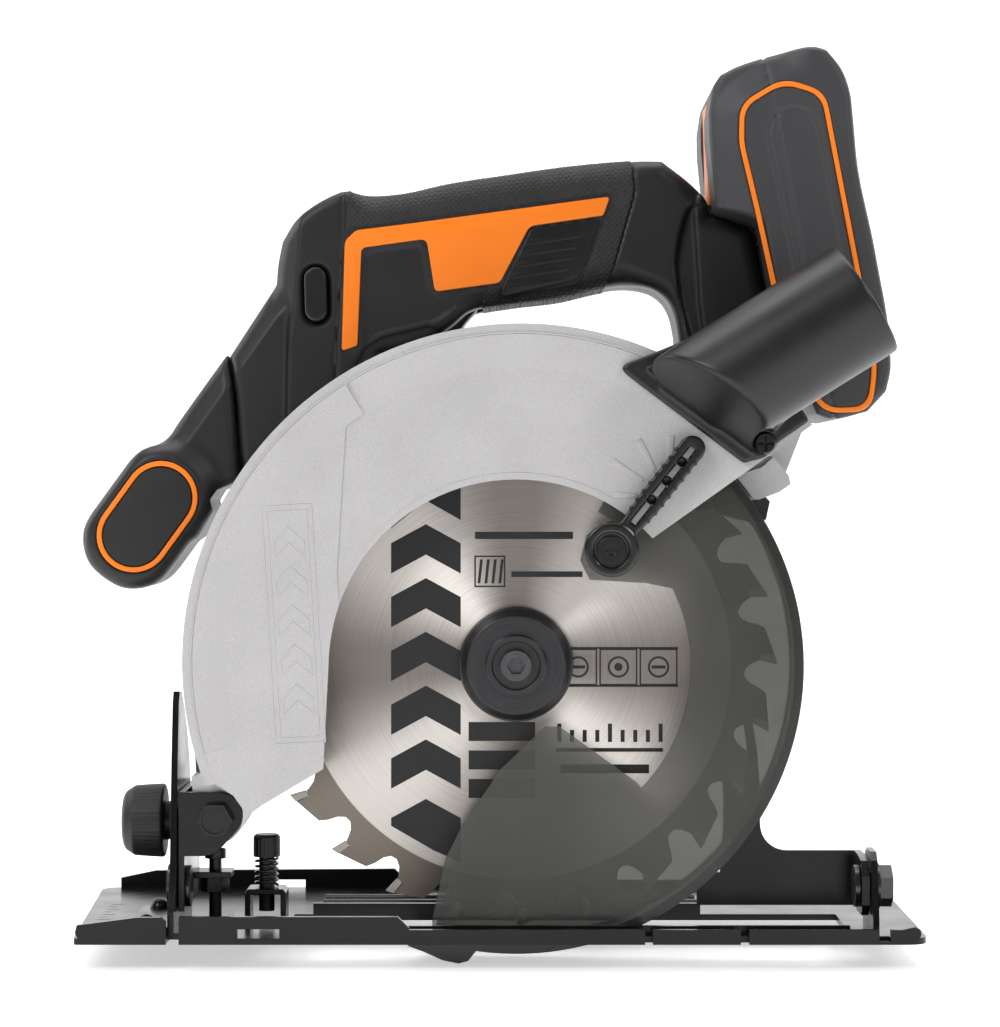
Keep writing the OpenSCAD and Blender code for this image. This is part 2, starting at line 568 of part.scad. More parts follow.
module motor_bearings() place() color("#a8abaf") {
  tube_y(mot[0], mot[1], 34.5, 38.2, 8, 4.02);
  tube_y(mot[0], mot[1], 94, 99, 8, 4.02);
}
module motor_housing() place() color("#1d1e20") difference() {
  union() {
    ycyl(mot[0], mot[1], 37, 98, mr);
    translate([mot[0], 98, mot[1]]) rotate([-90, 0, 0]) cylinder(h = 4, r1 = mr, r2 = mr - 4);
  }
  ycyl(mot[0], mot[1], 36, 46.5, mr - 3);
  ycyl(mot[0], mot[1], 46, 99.2, 28.6);
  // air slots in the end and round the fan
  for (a = [0:30:330]) translate([mot[0], 0, mot[1]]) rotate([0, a, 0]) box([13, 97, -1.4], [24, 104, 1.4]);
  for (a = [150:15:240]) translate([mot[0], 0, mot[1]]) rotate([0, -a, 0]) box([mr - 6, 39, -1.3], [mr + 2, 46, 1.3]);
}
module lock_dir() translate([0, lk_y, axis_z]) rotate([0, -60, 0]) children();
module spindle_lock_button() place() color("#d8641e") lock_dir() {
  translate([0, 0, 12.8]) cylinder(h = 22, r = 2.5);
  translate([0, 0, 31.5]) cylinder(h = 6, r = 3.9);
  translate([0, 0, 34.5]) cylinder(h = 5, r = 5);
}
module spindle_lock_spring() place() color("#c9c9cc") lock_dir() translate([0, 0, 23.8]) coil(3.1, 0.35, 4, 6.9);

// handle: side outline of the two shells
module handle_outline() difference() {
  polygon([[-56.5, 237], [-54.5, 237.2], [-49.5, 235.6], [-38, 236], [-21.5, 239.5], [-5, 242], [14.5, 244.8], [28, 246.2], [37, 246.8], [47.5, 246.8],
    [57, 239], [62, 233.5], [63.2, 229], [75, 225.7], [76.8, 224], [80.5, 206], [83.2, 192], [84.5, 184], [83.5, 170], [78, 158], [70, 154], [60, 153], [32, 153], [26.5, 148],
    [26, 120], [0, 100], [-36, 96], [-44, 100], [-60, 112], [-80, 131], [-87.5, 140], [-88, 143.5], [-89, 147.5], [-91.3, 172.5], [-93.3, 183.5], [-78, 207], [-77.6, 213], [-76, 221], [-71, 228]]);
  hand_loop();
}
module hand_loop() polygon([[-44, 184], [-30, 187.5], [-21, 193], [-15, 198], [-5, 200.2], [14.5, 202.6], [28, 205.7], [38, 206.4], [45, 204.7], [49.3, 200.8], [52, 193],
  [52.5, 180], [49, 171], [42, 166.5], [20, 165.5], [-30, 165.5], [-41, 168], [-46, 174]]);
module shell_cut() {
  ycyl(mot[0], mot[1], hy0 - 1, hy1 + 1, mr + 0.02);
  ycyl(0, axis_z, hy0 - 1, hy1 + 1, 24);
  lock_dir() translate([0, 0, 20]) cylinder(h = 30, r = 6.4);
  // tongue of the front grip
  xz(hy0 + 5.95, hy1 - 5.95) polygon([[-97, 182], [-85.9, 176.3], [-85.9, 163.7], [-96, 158]]);
  // trigger slot
  box([-42, hy - 7, 183], [-11, hy + 7, 206]);
  // lock-off button through the front column
  hull() { ycyl(-64.5, 198, hy0 - 2, hy1 + 2, 3.9); ycyl(-64.8, 208.5, hy0 - 2, hy1 + 2, 3.9); }
}
module shell_inside(y0, y1) xz(y0, y1) difference() {
  offset(delta = -shell_t) handle_outline();
  translate(mot) circle(mr + 3);
}
screw_xz = [[-84, 160], [-66, 228], [-60, 128], [-20, 158], [26, 241], [56, 222], [66, 164], [68, 200]];
module post(x, z, y0, y1) tube_y(x, z, y0, y1, 3.6, 1.5);
module handle_shell_near() place() color("#232427") difference() {
  union() {
    difference() {
      union() {
        xz(hy0 + 2, hy) handle_outline();
        xz(hy0, hy0 + 2.1) offset(delta = -1.6) handle_outline();
      }
      shell_inside(hy0 + 2 + shell_t - 1, hy + 1);
      shell_cut();
    }
    for (s = screw_xz) ycyl(s[0], s[1], hy0 + 3, hy, 3.6);
  }
  for (s = screw_xz) ycyl(s[0], s[1], hy0 + 6, hy + 1, 1.4);
}
module handle_shell_far() place() color("#232427") difference() {
  union() {
    difference() {
      union() {
        xz(hy, hy1 - 2) handle_outline();
        xz(hy1 - 2.1, hy1) offset(delta = -1.6) handle_outline();
      }
      shell_inside(hy - 1, hy1 - 1 - shell_t);
      shell_cut();
    }
    for (s = screw_xz) ycyl(s[0], s[1], hy, hy1 - 3, 3.6);
  }
  for (s = screw_xz) { ycyl(s[0], s[1], hy - 1, hy1 + 1, 1.5); ycyl(s[0], s[1], hy1 - 5, hy1 + 1, 3); }
}
module handle_screws() place() color("#3a3b3d") for (s = screw_xz) difference() {
  union() {
    ycyl(s[0], s[1], hy0 + 7, hy1 - 4.9, 1.38);
    ycyl(s[0], s[1], hy1 - 5, hy1 - 2.6, 2.8);
  }
  ycyl(s[0], s[1], hy1 - 3.6, hy1, 1.2);
}
// rubber sleeve round the grip bar, laid in a shallow band on each side and the top
module grip_sleeve() place() color("#2a2a2b") for (s = [[hy0 - 0.6, hy0], [hy1, hy1 + 0.6]]) xz(s[0], s[1]) difference() {
  polygon([[-20, 237.5], [-5, 240], [14.5, 242.8], [36, 244.6], [37.5, 237], [29, 206.5], [27, 207.5], [14.5, 204.8], [-5, 202.4], [-6, 205], [-4.5, 208], [3.5, 224], [6, 225.5], [28, 229], [30.5, 232.5], [30, 235], [14, 232.8], [-20, 228.2]]);
  badge2();
}
module inlay2() polygon([[-55, 219.5], [-54.3, 222], [-51.5, 223.7], [-34, 226.2], [14, 232.6], [29.7, 234.8], [30.2, 232.5], [28, 229], [5.8, 225.6], [3.2, 224], [-4.8, 208], [-7.2, 206.3],
  [-24.7, 204.4], [-26.6, 205.6], [-28.9, 218.5], [-31.4, 220.8], [-48.5, 218.3], [-50, 216.5], [-51.3, 186.6], [-55.1, 184.7], [-56.1, 185.7]]);
module badge2() polygon([[4.1, 224.2], [24.2, 227.2], [27, 226.4], [21.3, 211.2], [19, 207.2], [-3.4, 203], [-5, 205]]);
module side_inlays() place() color("#ff8014") {
  xz(hy0 - 0.5, hy0) inlay2();
  xz(hy1, hy1 + 0.5) inlay2();
}
module badge_panels() place() color("#141415") {
  xz(hy0 - 0.5, hy0) badge2();
  xz(hy1, hy1 + 0.5) badge2();
}
// front grip: arm and oval knob, one moulding over both sides
module knob2() translate([-119, 131.5]) rotate(-36) intersection() {
  scale(1) union() {
    translate([0, 9]) circle(16.2, $fn = 96);
    translate([0, -9]) circle(16.2, $fn = 96);
    translate([-16.2, -9]) square([32.4, 18]);
  }
  translate([-17.5, -25.2]) square([35, 50.4]);
}
module front_grip() place() color("#1f2022") difference() {
  union() {
    xz(hy0 - 1, hy1 + 1) knob2();
    xz(hy0 + 0.5, hy1 - 0.5) polygon([[-93.6, 183.4], [-93.9, 184.8], [-111.3, 160.2], [-116, 150], [-104, 126], [-99, 136.8], [-96.8, 140.1], [-88.3, 143.5], [-89.3, 147.5], [-91.6, 172.5]]);
    // tongue into the handle shells
    xz(hy0 + 6, hy1 - 6) polygon([[-94, 180], [-86, 176], [-86, 164], [-93, 160]]);
  }
  xz(hy0 + 3, hy1 - 3) translate([-119, 131.5]) rotate(-36) translate([-12, -20]) square([24, 40]);
  for (y = [hy0 - 2, hy1]) xz(y, y + 2) grip_ring2(0.05);
}
module oval2(a, b) union() { translate([0, b]) circle(a, $fn = 64); translate([0, -b]) circle(a, $fn = 64); translate([-a, -b]) square([2*a, 2*b]); }
module grip_ring2(d) translate([-119, 131.5]) rotate(-36) difference() { oval2(11.9 + d, 7.5); oval2(10.2 - d, 7.5); }
module front_grip_rings() place() color("#ff8014") {
  xz(hy0 - 1.4, hy0) grip_ring2(0);
  xz(hy1, hy1 + 1.4) grip_ring2(0);
}
module front_grip_pads() place() color("#2a2a2b") for (s = [[hy0 - 1.5, hy0 - 1], [hy1 + 1, hy1 + 1.5]]) xz(s[0], s[1]) translate([-119, 131.5]) rotate(-36) oval2(10, 7.5);
// switch, trigger and electronics
module trigger() place() color("#1a1b1d") {
  difference() {
    xz(hy - 6.4, hy + 6.4) polygon([[-40, 202], [-41, 190], [-40.5, 181.5], [-37, 178.4], [-31, 179.6], [-25, 183.5], [-20.5, 189], [-16.2, 195], [-12.4, 199.6], [-12.4, 200.4], [-33, 200.4], [-34, 202]]);
    ycyl(-37, 198.5, hy - 7, hy + 7, 1.55);
  }
}
module switch_body() place() color("#303236") {
  box([-40, hy - 8, 206.6], [-4, hy + 8, 224]);
  box([-20, hy - 2, 204.7], [-14, hy + 2, 206.7]);
  ycyl(-37, 198.5, hy - 13, hy + 13, 1.5);
}
module lock_off_button() place() color("#161618") {
  hull() { ycyl(-64.5, 198, hy0 - 1.6, hy1 + 1.6, 3.6); ycyl(-64.8, 208.5, hy0 - 1.6, hy1 + 1.6, 3.6); }
}
module control_board() place() color("#1f5c3a") {
  box([2, hy - 10, 222], [46, hy + 10, 223.6]);
  box([8, hy - 6, 223.6], [16, hy + 6, 228]);
  box([24, hy - 7, 223.6], [30, hy + 1, 226]);
  ycyl(39, 217.5, hy - 7, hy + 7, 4);
}
module battery_rail() place() color("#151517") {
  bat() {
    difference() {
      union() {
        box([0, hy - 12, -30], [3.4, hy + 12, 13]);
        box([3.3, hy - 15, -30], [6, hy + 15, 13]);
      }
      for (y = [-9, -3, 3, 9]) box([1, hy + y - 1.3, 7], [5, hy + y + 1.3, 14]);
    }
    // contact blades
    for (y = [-9, -3, 3, 9]) box([1.6, hy + y - 0.4, 5], [4.6, hy + y + 0.4, 21]);
  }
}
// battery pack
module bat2() polygon([[62.5, 268.5], [70.5, 275], [95, 281], [98.5, 279.7], [105, 270], [108.3, 242], [114, 216], [119, 179.5], [117.5, 171.5], [111.5, 165], [100, 162.5], [95.3, 164],
  [84.2, 192], [81.1, 206], [77.9, 224.4], [75.6, 226.1], [63.6, 229.4]]);
module battery_case() place() color("#3b3d40") difference() {
  union() {
    xz(hy - battery_w/2 + 2, hy + battery_w/2 - 2) bat2();
    for (y = [hy - battery_w/2, hy + battery_w/2 - 2]) xz(y, y + 2) offset(delta = -1.6) bat2();
  }
  difference() {
    xz(hy - battery_w/2 + 2.6, hy + battery_w/2 - 2.6) offset(delta = -2.6) bat2();
    bat() box([-2, hy - 18, -60], [9, hy + 18, 24]);
  }
  // rail channel, open at the bottom
  bat() {
    box([-2, hy - 12.3, -60], [3.7, hy + 12.3, 13.4]);
    box([3, hy - 15.3, -60], [6.4, hy + 15.3, 13.4]);
    for (y = [-9, -3, 3, 9]) box([1.2, hy + y - 0.9, 12], [5, hy + y + 0.9, 22]);
  }
  // pocket of the release button
  bat() xz(hy - 9.3, hy + 9.3) polygon([[-20, 28.6], [-20, 63.4], [0, 63.4], [-5.4, 28.6]]);
}
module battery_cells() place() color("#3d6fb0") bat() for (i = [0:4]) translate([21.5 + (i > 3 ? -5 : 0), hy - 32.5, -24 + i*19.2]) rotate([-90, 0, 0]) cylinder(h = 65, r = 9.2);
module ring_b2() difference() {
  polygon([[71, 254.5], [72, 260.5], [76, 266], [84, 268.8], [92, 268.6], [97, 266], [99.4, 261], [114, 181], [114, 173], [110.5, 167], [104, 164.5], [97, 165.5], [92, 170], [84.5, 189], [80.5, 206], [76, 226]]);
  polygon([[72.6, 254.6], [73.5, 260], [77, 264.7], [84.3, 267.2], [91.8, 267], [96, 264.8], [97.9, 260.5], [112.4, 180.6], [112.4, 173.4], [109.4, 168.3], [103.8, 166.1], [97.7, 167], [93.4, 170.9], [86, 189.5], [82, 206.4], [77.6, 226]]);
}
module battery_rings() place() color("#ff8014") for (y = [hy - battery_w/2 - 0.6, hy + battery_w/2]) xz(y, y + 0.6) ring_b2();
module battery_release_button() place() color("#ff8014") bat()
  xz(hy - 9, hy + 9) polygon([[-12.2, 30], [-12, 29.4], [-9.2, 29.4], [-3.6, 62.4], [-6.5, 62.6], [-6.9, 62]]);

shoe();
bevel_quadrant();
fence_bridge();
fence_spring();
bevel_pivot_pins();
fence_screw();
bevel_bracket();
depth_bracket();
depth_pivot_bolt();
bevel_stop_screw();
bevel_stud();
bevel_knob();
depth_lock_bolt();
depth_lock_lever();
upper_guard();
dust_port();
dust_port_screw();
gear_case();
gear_case_cover();
case_screws();
lower_guard();
guard_lever();
lever_screw();
guard_spring();
blade_plate();
carbide_tips();
inner_flange();
outer_flange();
blade_bolt();
spindle();
driven_gear();
spindle_bearings();
armature();
commutator();
cooling_fan();
motor_can();
motor_magnets();
carbon_brushes();
motor_bearings();
motor_housing();
spindle_lock_button();
spindle_lock_spring();
handle_shell_near();
handle_shell_far();
handle_screws();
grip_sleeve();
side_inlays();
badge_panels();
front_grip();
front_grip_rings();
front_grip_pads();
trigger();
lock_off_button();
switch_body();
control_board();
battery_rail();
battery_case();
battery_cells();
battery_rings();
battery_release_button();
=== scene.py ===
import json
import math

import bmesh
import bpy
import numpy as np
from mathutils import Matrix, Vector


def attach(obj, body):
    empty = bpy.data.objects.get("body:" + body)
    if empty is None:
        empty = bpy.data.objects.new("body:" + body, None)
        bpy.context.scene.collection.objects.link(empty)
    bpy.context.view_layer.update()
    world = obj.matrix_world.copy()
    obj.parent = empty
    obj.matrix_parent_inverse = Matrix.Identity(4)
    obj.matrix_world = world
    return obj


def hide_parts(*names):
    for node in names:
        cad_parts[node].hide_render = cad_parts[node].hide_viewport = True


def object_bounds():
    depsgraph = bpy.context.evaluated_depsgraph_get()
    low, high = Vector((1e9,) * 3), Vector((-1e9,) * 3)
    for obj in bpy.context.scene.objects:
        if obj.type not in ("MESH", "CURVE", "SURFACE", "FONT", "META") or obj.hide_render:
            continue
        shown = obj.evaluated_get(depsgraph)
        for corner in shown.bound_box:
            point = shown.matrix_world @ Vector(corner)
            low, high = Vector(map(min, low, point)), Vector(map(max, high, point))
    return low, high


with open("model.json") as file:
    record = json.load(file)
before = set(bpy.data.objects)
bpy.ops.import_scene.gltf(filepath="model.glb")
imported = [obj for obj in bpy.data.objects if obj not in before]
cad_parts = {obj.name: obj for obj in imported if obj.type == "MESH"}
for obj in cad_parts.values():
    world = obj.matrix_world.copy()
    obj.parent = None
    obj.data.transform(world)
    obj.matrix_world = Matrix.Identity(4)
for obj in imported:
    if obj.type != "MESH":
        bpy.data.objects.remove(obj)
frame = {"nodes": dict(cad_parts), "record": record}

NODES = frame["nodes"]


def as_list(b):
    return [[round(float(c), 6) for c in v] for v in b]


cad_bounds = as_list(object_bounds())

# Blade coordinates in millimetres (x from the blade axis, y from the blade's middle plane,
# z from the sole) go to the row frame with this shift.
OX, OY = 5.0, -36.0
AZ = 85.0


def V(x, y, z):
    return Vector(((x + OX) / 1000, (y + OY) / 1000, z / 1000))


# ---------------------------------------------------------------- materials
def new_mat(name):
    m = bpy.data.materials.new(name)
    m.use_nodes = True
    nt = m.node_tree
    return m, nt, nt.nodes["Principled BSDF"]


def N(nt, kind, **kw):
    n = nt.nodes.new(kind)
    for k, v in kw.items():
        if k.startswith("i_"):
            n.inputs[k[2:].replace("_", " ")].default_value = v
        else:
            setattr(n, k, v)
    return n


def ramp(nt, src, lo, hi, p0=0.3, p1=0.7):
    r = N(nt, "ShaderNodeMapRange")
    r.inputs["From Min"].default_value = p0
    r.inputs["From Max"].default_value = p1
    r.inputs["To Min"].default_value = lo
    r.inputs["To Max"].default_value = hi
    nt.links.new(src, r.inputs["Value"])
    return r.outputs["Result"]


def colour_between(nt, src, c0, c1, p0=0.3, p1=0.7):
    r = N(nt, "ShaderNodeValToRGB")
    r.color_ramp.elements[0].position = p0
    r.color_ramp.elements[1].position = p1
    r.color_ramp.elements[0].color = (*c0, 1)
    r.color_ramp.elements[1].color = (*c1, 1)
    nt.links.new(src, r.inputs["Fac"])
    return r.outputs["Color"]


def noise_at(nt, scale, detail=3.0, rough=0.55, stretch=None):
    tc = N(nt, "ShaderNodeTexCoord")
    src = tc.outputs["Object"]
    if stretch:
        mp = N(nt, "ShaderNodeMapping")
        mp.inputs["Scale"].default_value = stretch
        nt.links.new(src, mp.inputs["Vector"])
        src = mp.outputs["Vector"]
    n = N(nt, "ShaderNodeTexNoise")
    n.inputs["Scale"].default_value = scale
    n.inputs["Detail"].default_value = detail
    n.inputs["Roughness"].default_value = rough
    nt.links.new(src, n.inputs["Vector"])
    return n.outputs["Fac"]


def bump(nt, bsdf, height, strength=0.3, dist=0.0001, prev=None):
    b = N(nt, "ShaderNodeBump")
    b.inputs["Strength"].default_value = strength
    b.inputs["Distance"].default_value = dist
    nt.links.new(height, b.inputs["Height"])
    if prev is not None:
        nt.links.new(prev, b.inputs["Normal"])
    nt.links.new(b.outputs["Normal"], bsdf.inputs["Normal"])
    return b.outputs["Normal"]


def shade(c, k):
    return tuple(min(1.0, x * k) for x in c)


def surface(name, col, rough=0.5, metal=0.0, grain=2500, grain_bump=0.25, grain_dist=0.00008, vary=0.12,
            rvary=0.06, spec=0.5, coat=0.0, coat_rough=0.1, wear=None, cloud=40):
    """A moulded or painted surface: fine grain, a slow drift of tone, and patchy gloss."""
    m, nt, b = new_mat(name)
    g = noise_at(nt, grain, 2.0, 0.6)
    c = noise_at(nt, cloud, 4.0, 0.55)
    mix = N(nt, "ShaderNodeMath", operation="ADD")
    mg = N(nt, "ShaderNodeMath", operation="MULTIPLY")
    mg.inputs[1].default_value = 0.72
    nt.links.new(g, mg.inputs[0])
    mc = N(nt, "ShaderNodeMath", operation="MULTIPLY")
    mc.inputs[1].default_value = 0.28
    nt.links.new(c, mc.inputs[0])
    nt.links.new(mg.outputs[0], mix.inputs[0])
    nt.links.new(mc.outputs[0], mix.inputs[1])
    nt.links.new(colour_between(nt, mix.outputs[0], shade(col, 1 - vary), shade(col, 1 + vary)), b.inputs["Base Color"])
    nt.links.new(ramp(nt, c, rough - rvary, rough + rvary), b.inputs["Roughness"])
    b.inputs["Metallic"].default_value = metal
    b.inputs["Specular IOR Level"].default_value = spec
    if coat:
        b.inputs["Coat Weight"].default_value = coat
        b.inputs["Coat Roughness"].default_value = coat_rough
    if grain_bump:
        bump(nt, b, g, grain_bump, grain_dist)
    return m


def brushed(name, col, rough=0.3, axis="ring", metal=1.0, centre=None, aniso=0.6, line=0.10):
    """Turned or drawn metal. axis is ring (circles about the blade axis), X, Y or Z."""
    m, nt, b = new_mat(name)
    tc = N(nt, "ShaderNodeTexCoord")
    if axis == "ring":
        sub = N(nt, "ShaderNodeVectorMath", operation="SUBTRACT")
        c = centre if centre is not None else V(0, 0, AZ)
        sub.inputs[1].default_value = tuple(c)
        nt.links.new(tc.outputs["Object"], sub.inputs[0])
        sep = N(nt, "ShaderNodeSeparateXYZ")
        nt.links.new(sub.outputs[0], sep.inputs[0])
        flat = N(nt, "ShaderNodeCombineXYZ")
        nt.links.new(sep.outputs["X"], flat.inputs["X"])
        nt.links.new(sep.outputs["Z"], flat.inputs["Y"])
        ln = N(nt, "ShaderNodeVectorMath", operation="LENGTH")
        nt.links.new(flat.outputs[0], ln.inputs[0])
        nrm = N(nt, "ShaderNodeVectorMath", operation="NORMALIZE")
        nt.links.new(flat.outputs[0], nrm.inputs[0])
        s1 = N(nt, "ShaderNodeSeparateXYZ")
        nt.links.new(nrm.outputs[0], s1.inputs[0])
        mul = N(nt, "ShaderNodeMath", operation="MULTIPLY")
        mul.inputs[1].default_value = 2600
        nt.links.new(ln.outputs["Value"], mul.inputs[0])
        comb = N(nt, "ShaderNodeCombineXYZ")
        nt.links.new(mul.outputs[0], comb.inputs["X"])
        for k, o in (("Y", "X"), ("Z", "Y")):
            mm = N(nt, "ShaderNodeMath", operation="MULTIPLY")
            mm.inputs[1].default_value = 1.3
            nt.links.new(s1.outputs[o], mm.inputs[0])
            nt.links.new(mm.outputs[0], comb.inputs[k])
        src = comb.outputs[0]
        n = N(nt, "ShaderNodeTexNoise")
        n.inputs["Scale"].default_value = 1.0
    else:
        mp = N(nt, "ShaderNodeMapping")
        s = {"X": (60, 3000, 3000), "Y": (3000, 60, 3000), "Z": (3000, 3000, 60)}[axis]
        mp.inputs["Scale"].default_value = s
        nt.links.new(tc.outputs["Object"], mp.inputs["Vector"])
        src = mp.outputs["Vector"]
        n = N(nt, "ShaderNodeTexNoise")
        n.inputs["Scale"].default_value = 1.0
    n.inputs["Detail"].default_value = 3.0
    nt.links.new(src, n.inputs["Vector"])
    f = n.outputs["Fac"]
    nt.links.new(colour_between(nt, f, shade(col, 1 - line), shade(col, 1 + line), 0.25, 0.75), b.inputs["Base Color"])
    nt.links.new(ramp(nt, f, rough - 0.07, rough + 0.09), b.inputs["Roughness"])
    b.inputs["Metallic"].default_value = metal
    if aniso:
        b.inputs["Anisotropic"].default_value = aniso
        t = N(nt, "ShaderNodeTangent", direction_type="RADIAL", axis="Y" if axis == "ring" else axis)
        nt.links.new(t.outputs[0], b.inputs["Tangent"])
        if axis == "ring":
            b.inputs["Anisotropic Rotation"].default_value = 0.25
    bump(nt, b, f, 0.12, 0.00004)
    return m


def knurled(name, col, pitch=1.1, rough=0.6, strength=0.7, dist=0.00025, plane="XZ", turn=45.0):
    """Rubber with rows of small pyramids."""
    m, nt, b = new_mat(name)
    tc = N(nt, "ShaderNodeTexCoord")
    mp = N(nt, "ShaderNodeMapping")
    mp.inputs["Rotation"].default_value = (0, math.radians(turn), 0)
    nt.links.new(tc.outputs["Object"], mp.inputs["Vector"])
    sep = N(nt, "ShaderNodeSeparateXYZ")
    nt.links.new(mp.outputs[0], sep.inputs[0])
    vals = []
    for o in ("X", "Z"):
        k = N(nt, "ShaderNodeMath", operation="MULTIPLY")
        k.inputs[1].default_value = 1000.0 / pitch
        nt.links.new(sep.outputs[o], k.inputs[0])
        p = N(nt, "ShaderNodeMath", operation="PINGPONG")
        p.inputs[1].default_value = 0.5
        nt.links.new(k.outputs[0], p.inputs[0])
        vals.append(p.outputs[0])
    mn = N(nt, "ShaderNodeMath", operation="MINIMUM")
    nt.links.new(vals[0], mn.inputs[0])
    nt.links.new(vals[1], mn.inputs[1])
    h = N(nt, "ShaderNodeMath", operation="MULTIPLY")
    h.inputs[1].default_value = 2.0
    nt.links.new(mn.outputs[0], h.inputs[0])
    c = noise_at(nt, 60, 3.0)
    # colour follows the pyramid height: painted shade in the valleys, painted highlight on the tips
    nt.links.new(colour_between(nt, h.outputs[0], shade(col, 0.55), shade(col, 1.45), 0.05, 0.9), b.inputs["Base Color"])
    nt.links.new(ramp(nt, c, rough - 0.07, rough + 0.07), b.inputs["Roughness"])
    bump(nt, b, h.outputs[0], strength, dist)
    return m


M = {}
M["cast"] = surface("silver_cast_paint", (0.525, 0.515, 0.515), 0.44, 0.25, grain=2600, grain_bump=0.6, grain_dist=0.00012, vary=0.12, rvary=0.03, spec=0.5)
M["black_steel"] = surface("black_powder_coat", (0.0085, 0.0083, 0.0086), 0.22, 0.0, grain=900, grain_bump=0.10, grain_dist=0.00003, vary=0.2, rvary=0.05, spec=0.26)
M["black_plastic"] = surface("black_moulded_plastic", (0.0095, 0.0095, 0.0105), 0.45, 0.0, grain=4200, grain_bump=0.35, grain_dist=0.00006, vary=0.18, spec=0.45)
M["smooth_plastic"] = surface("black_smooth_plastic", (0.0078, 0.0078, 0.0086), 0.33, 0.0, grain=3000, grain_bump=0.08, grain_dist=0.00003, vary=0.15, spec=0.5)
M["knob_plastic"] = surface("knob_plastic", (0.0105, 0.0105, 0.0115), 0.5, 0.0, grain=3200, grain_bump=0.3, grain_dist=0.00006, vary=0.2)
M["port_plastic"] = surface("dust_port_plastic", (0.0085, 0.0082, 0.0084), 0.38, 0.0, grain=3800, grain_bump=0.28, grain_dist=0.00006, vary=0.16, spec=0.5)
M["orange"] = surface("orange_inlay", (1.0, 0.225, 0.009), 0.42, 0.0, grain=3600, grain_bump=0.12, grain_dist=0.00004, vary=0.03, spec=0.4)
M["badge"] = surface("badge_plastic", (0.0065, 0.0065, 0.0072), 0.34, 0.0, grain=2600, grain_bump=0.05, grain_dist=0.00003, vary=0.1)
M["rubber"] = knurled("knurled_rubber", (0.0125, 0.0122, 0.0125), 1.25, 0.62, 0.8, 0.00022)
M["pad"] = surface("soft_pad", (0.0085, 0.0085, 0.0095), 0.58, 0.0, grain=3800, grain_bump=0.4, grain_dist=0.00008, vary=0.2)
M["blade"] = brushed("blade_turned_steel", (0.74, 0.695, 0.655), 0.43, "ring", aniso=0.9, line=0.15)
M["blade_rim"] = brushed("blade_ground_rim", (0.44, 0.40, 0.355), 0.42, "ring", aniso=0.4, line=0.14)
M["carbide"] = surface("carbide_tip", (0.36, 0.335, 0.30), 0.38, 0.9, grain=4000, grain_bump=0.3, vary=0.22)
M["flange"] = brushed("flange_blackened", (0.050, 0.050, 0.053), 0.36, "ring", metal=0.75, aniso=0.5, line=0.22)
M["bolt"] = brushed("bolt_blackened", (0.10, 0.10, 0.105), 0.32, "ring", metal=0.85, aniso=0.3, line=0.25)
M["zinc"] = surface("zinc_plate", (0.085, 0.085, 0.09), 0.30, 0.9, grain=2200, grain_bump=0.12, vary=0.08)
M["wire"] = surface("spring_wire", (0.07, 0.07, 0.075), 0.25, 0.9, grain=1600, grain_bump=0.08, vary=0.1)
M["black_screw"] = surface("black_oxide", (0.022, 0.022, 0.024), 0.33, 0.55, grain=2400, grain_bump=0.15, vary=0.3)
M["raw"] = surface("raw_casting", (0.42, 0.43, 0.445), 0.5, 0.9, grain=1800, grain_bump=0.4, vary=0.1)
M["copper"] = brushed("copper_bars", (0.72, 0.40, 0.25), 0.3, "Y", aniso=0.3)
M["motor"] = surface("motor_steel", (0.30, 0.31, 0.33), 0.4, 1.0, grain=2000, grain_bump=0.15, vary=0.1)
M["ferrite"] = surface("ferrite", (0.06, 0.06, 0.065), 0.6, 0.0, grain=2400, grain_bump=0.3, vary=0.2)
M["board"] = surface("solder_mask", (0.02, 0.12, 0.05), 0.35, 0.0, grain=1200, grain_bump=0.1, vary=0.15)
M["cell"] = surface("cell_wrap", (0.06, 0.16, 0.42), 0.35, 0.0, grain=1500, grain_bump=0.1, vary=0.1)
M["battery"] = surface("battery_plastic", (0.038, 0.039, 0.042), 0.5, 0.0, grain=3800, grain_bump=0.35, grain_dist=0.00006, vary=0.14)
M["ink"] = surface("black_ink", (0.006, 0.006, 0.0065), 0.5, 0.0, grain=2600, grain_bump=0.1, grain_dist=0.00002, vary=0.3)
M["lever"] = surface("lever_plastic", (0.011, 0.011, 0.011), 0.26, 0.0, grain=2200, grain_bump=0.06, grain_dist=0.00003, vary=0.2, spec=0.6)


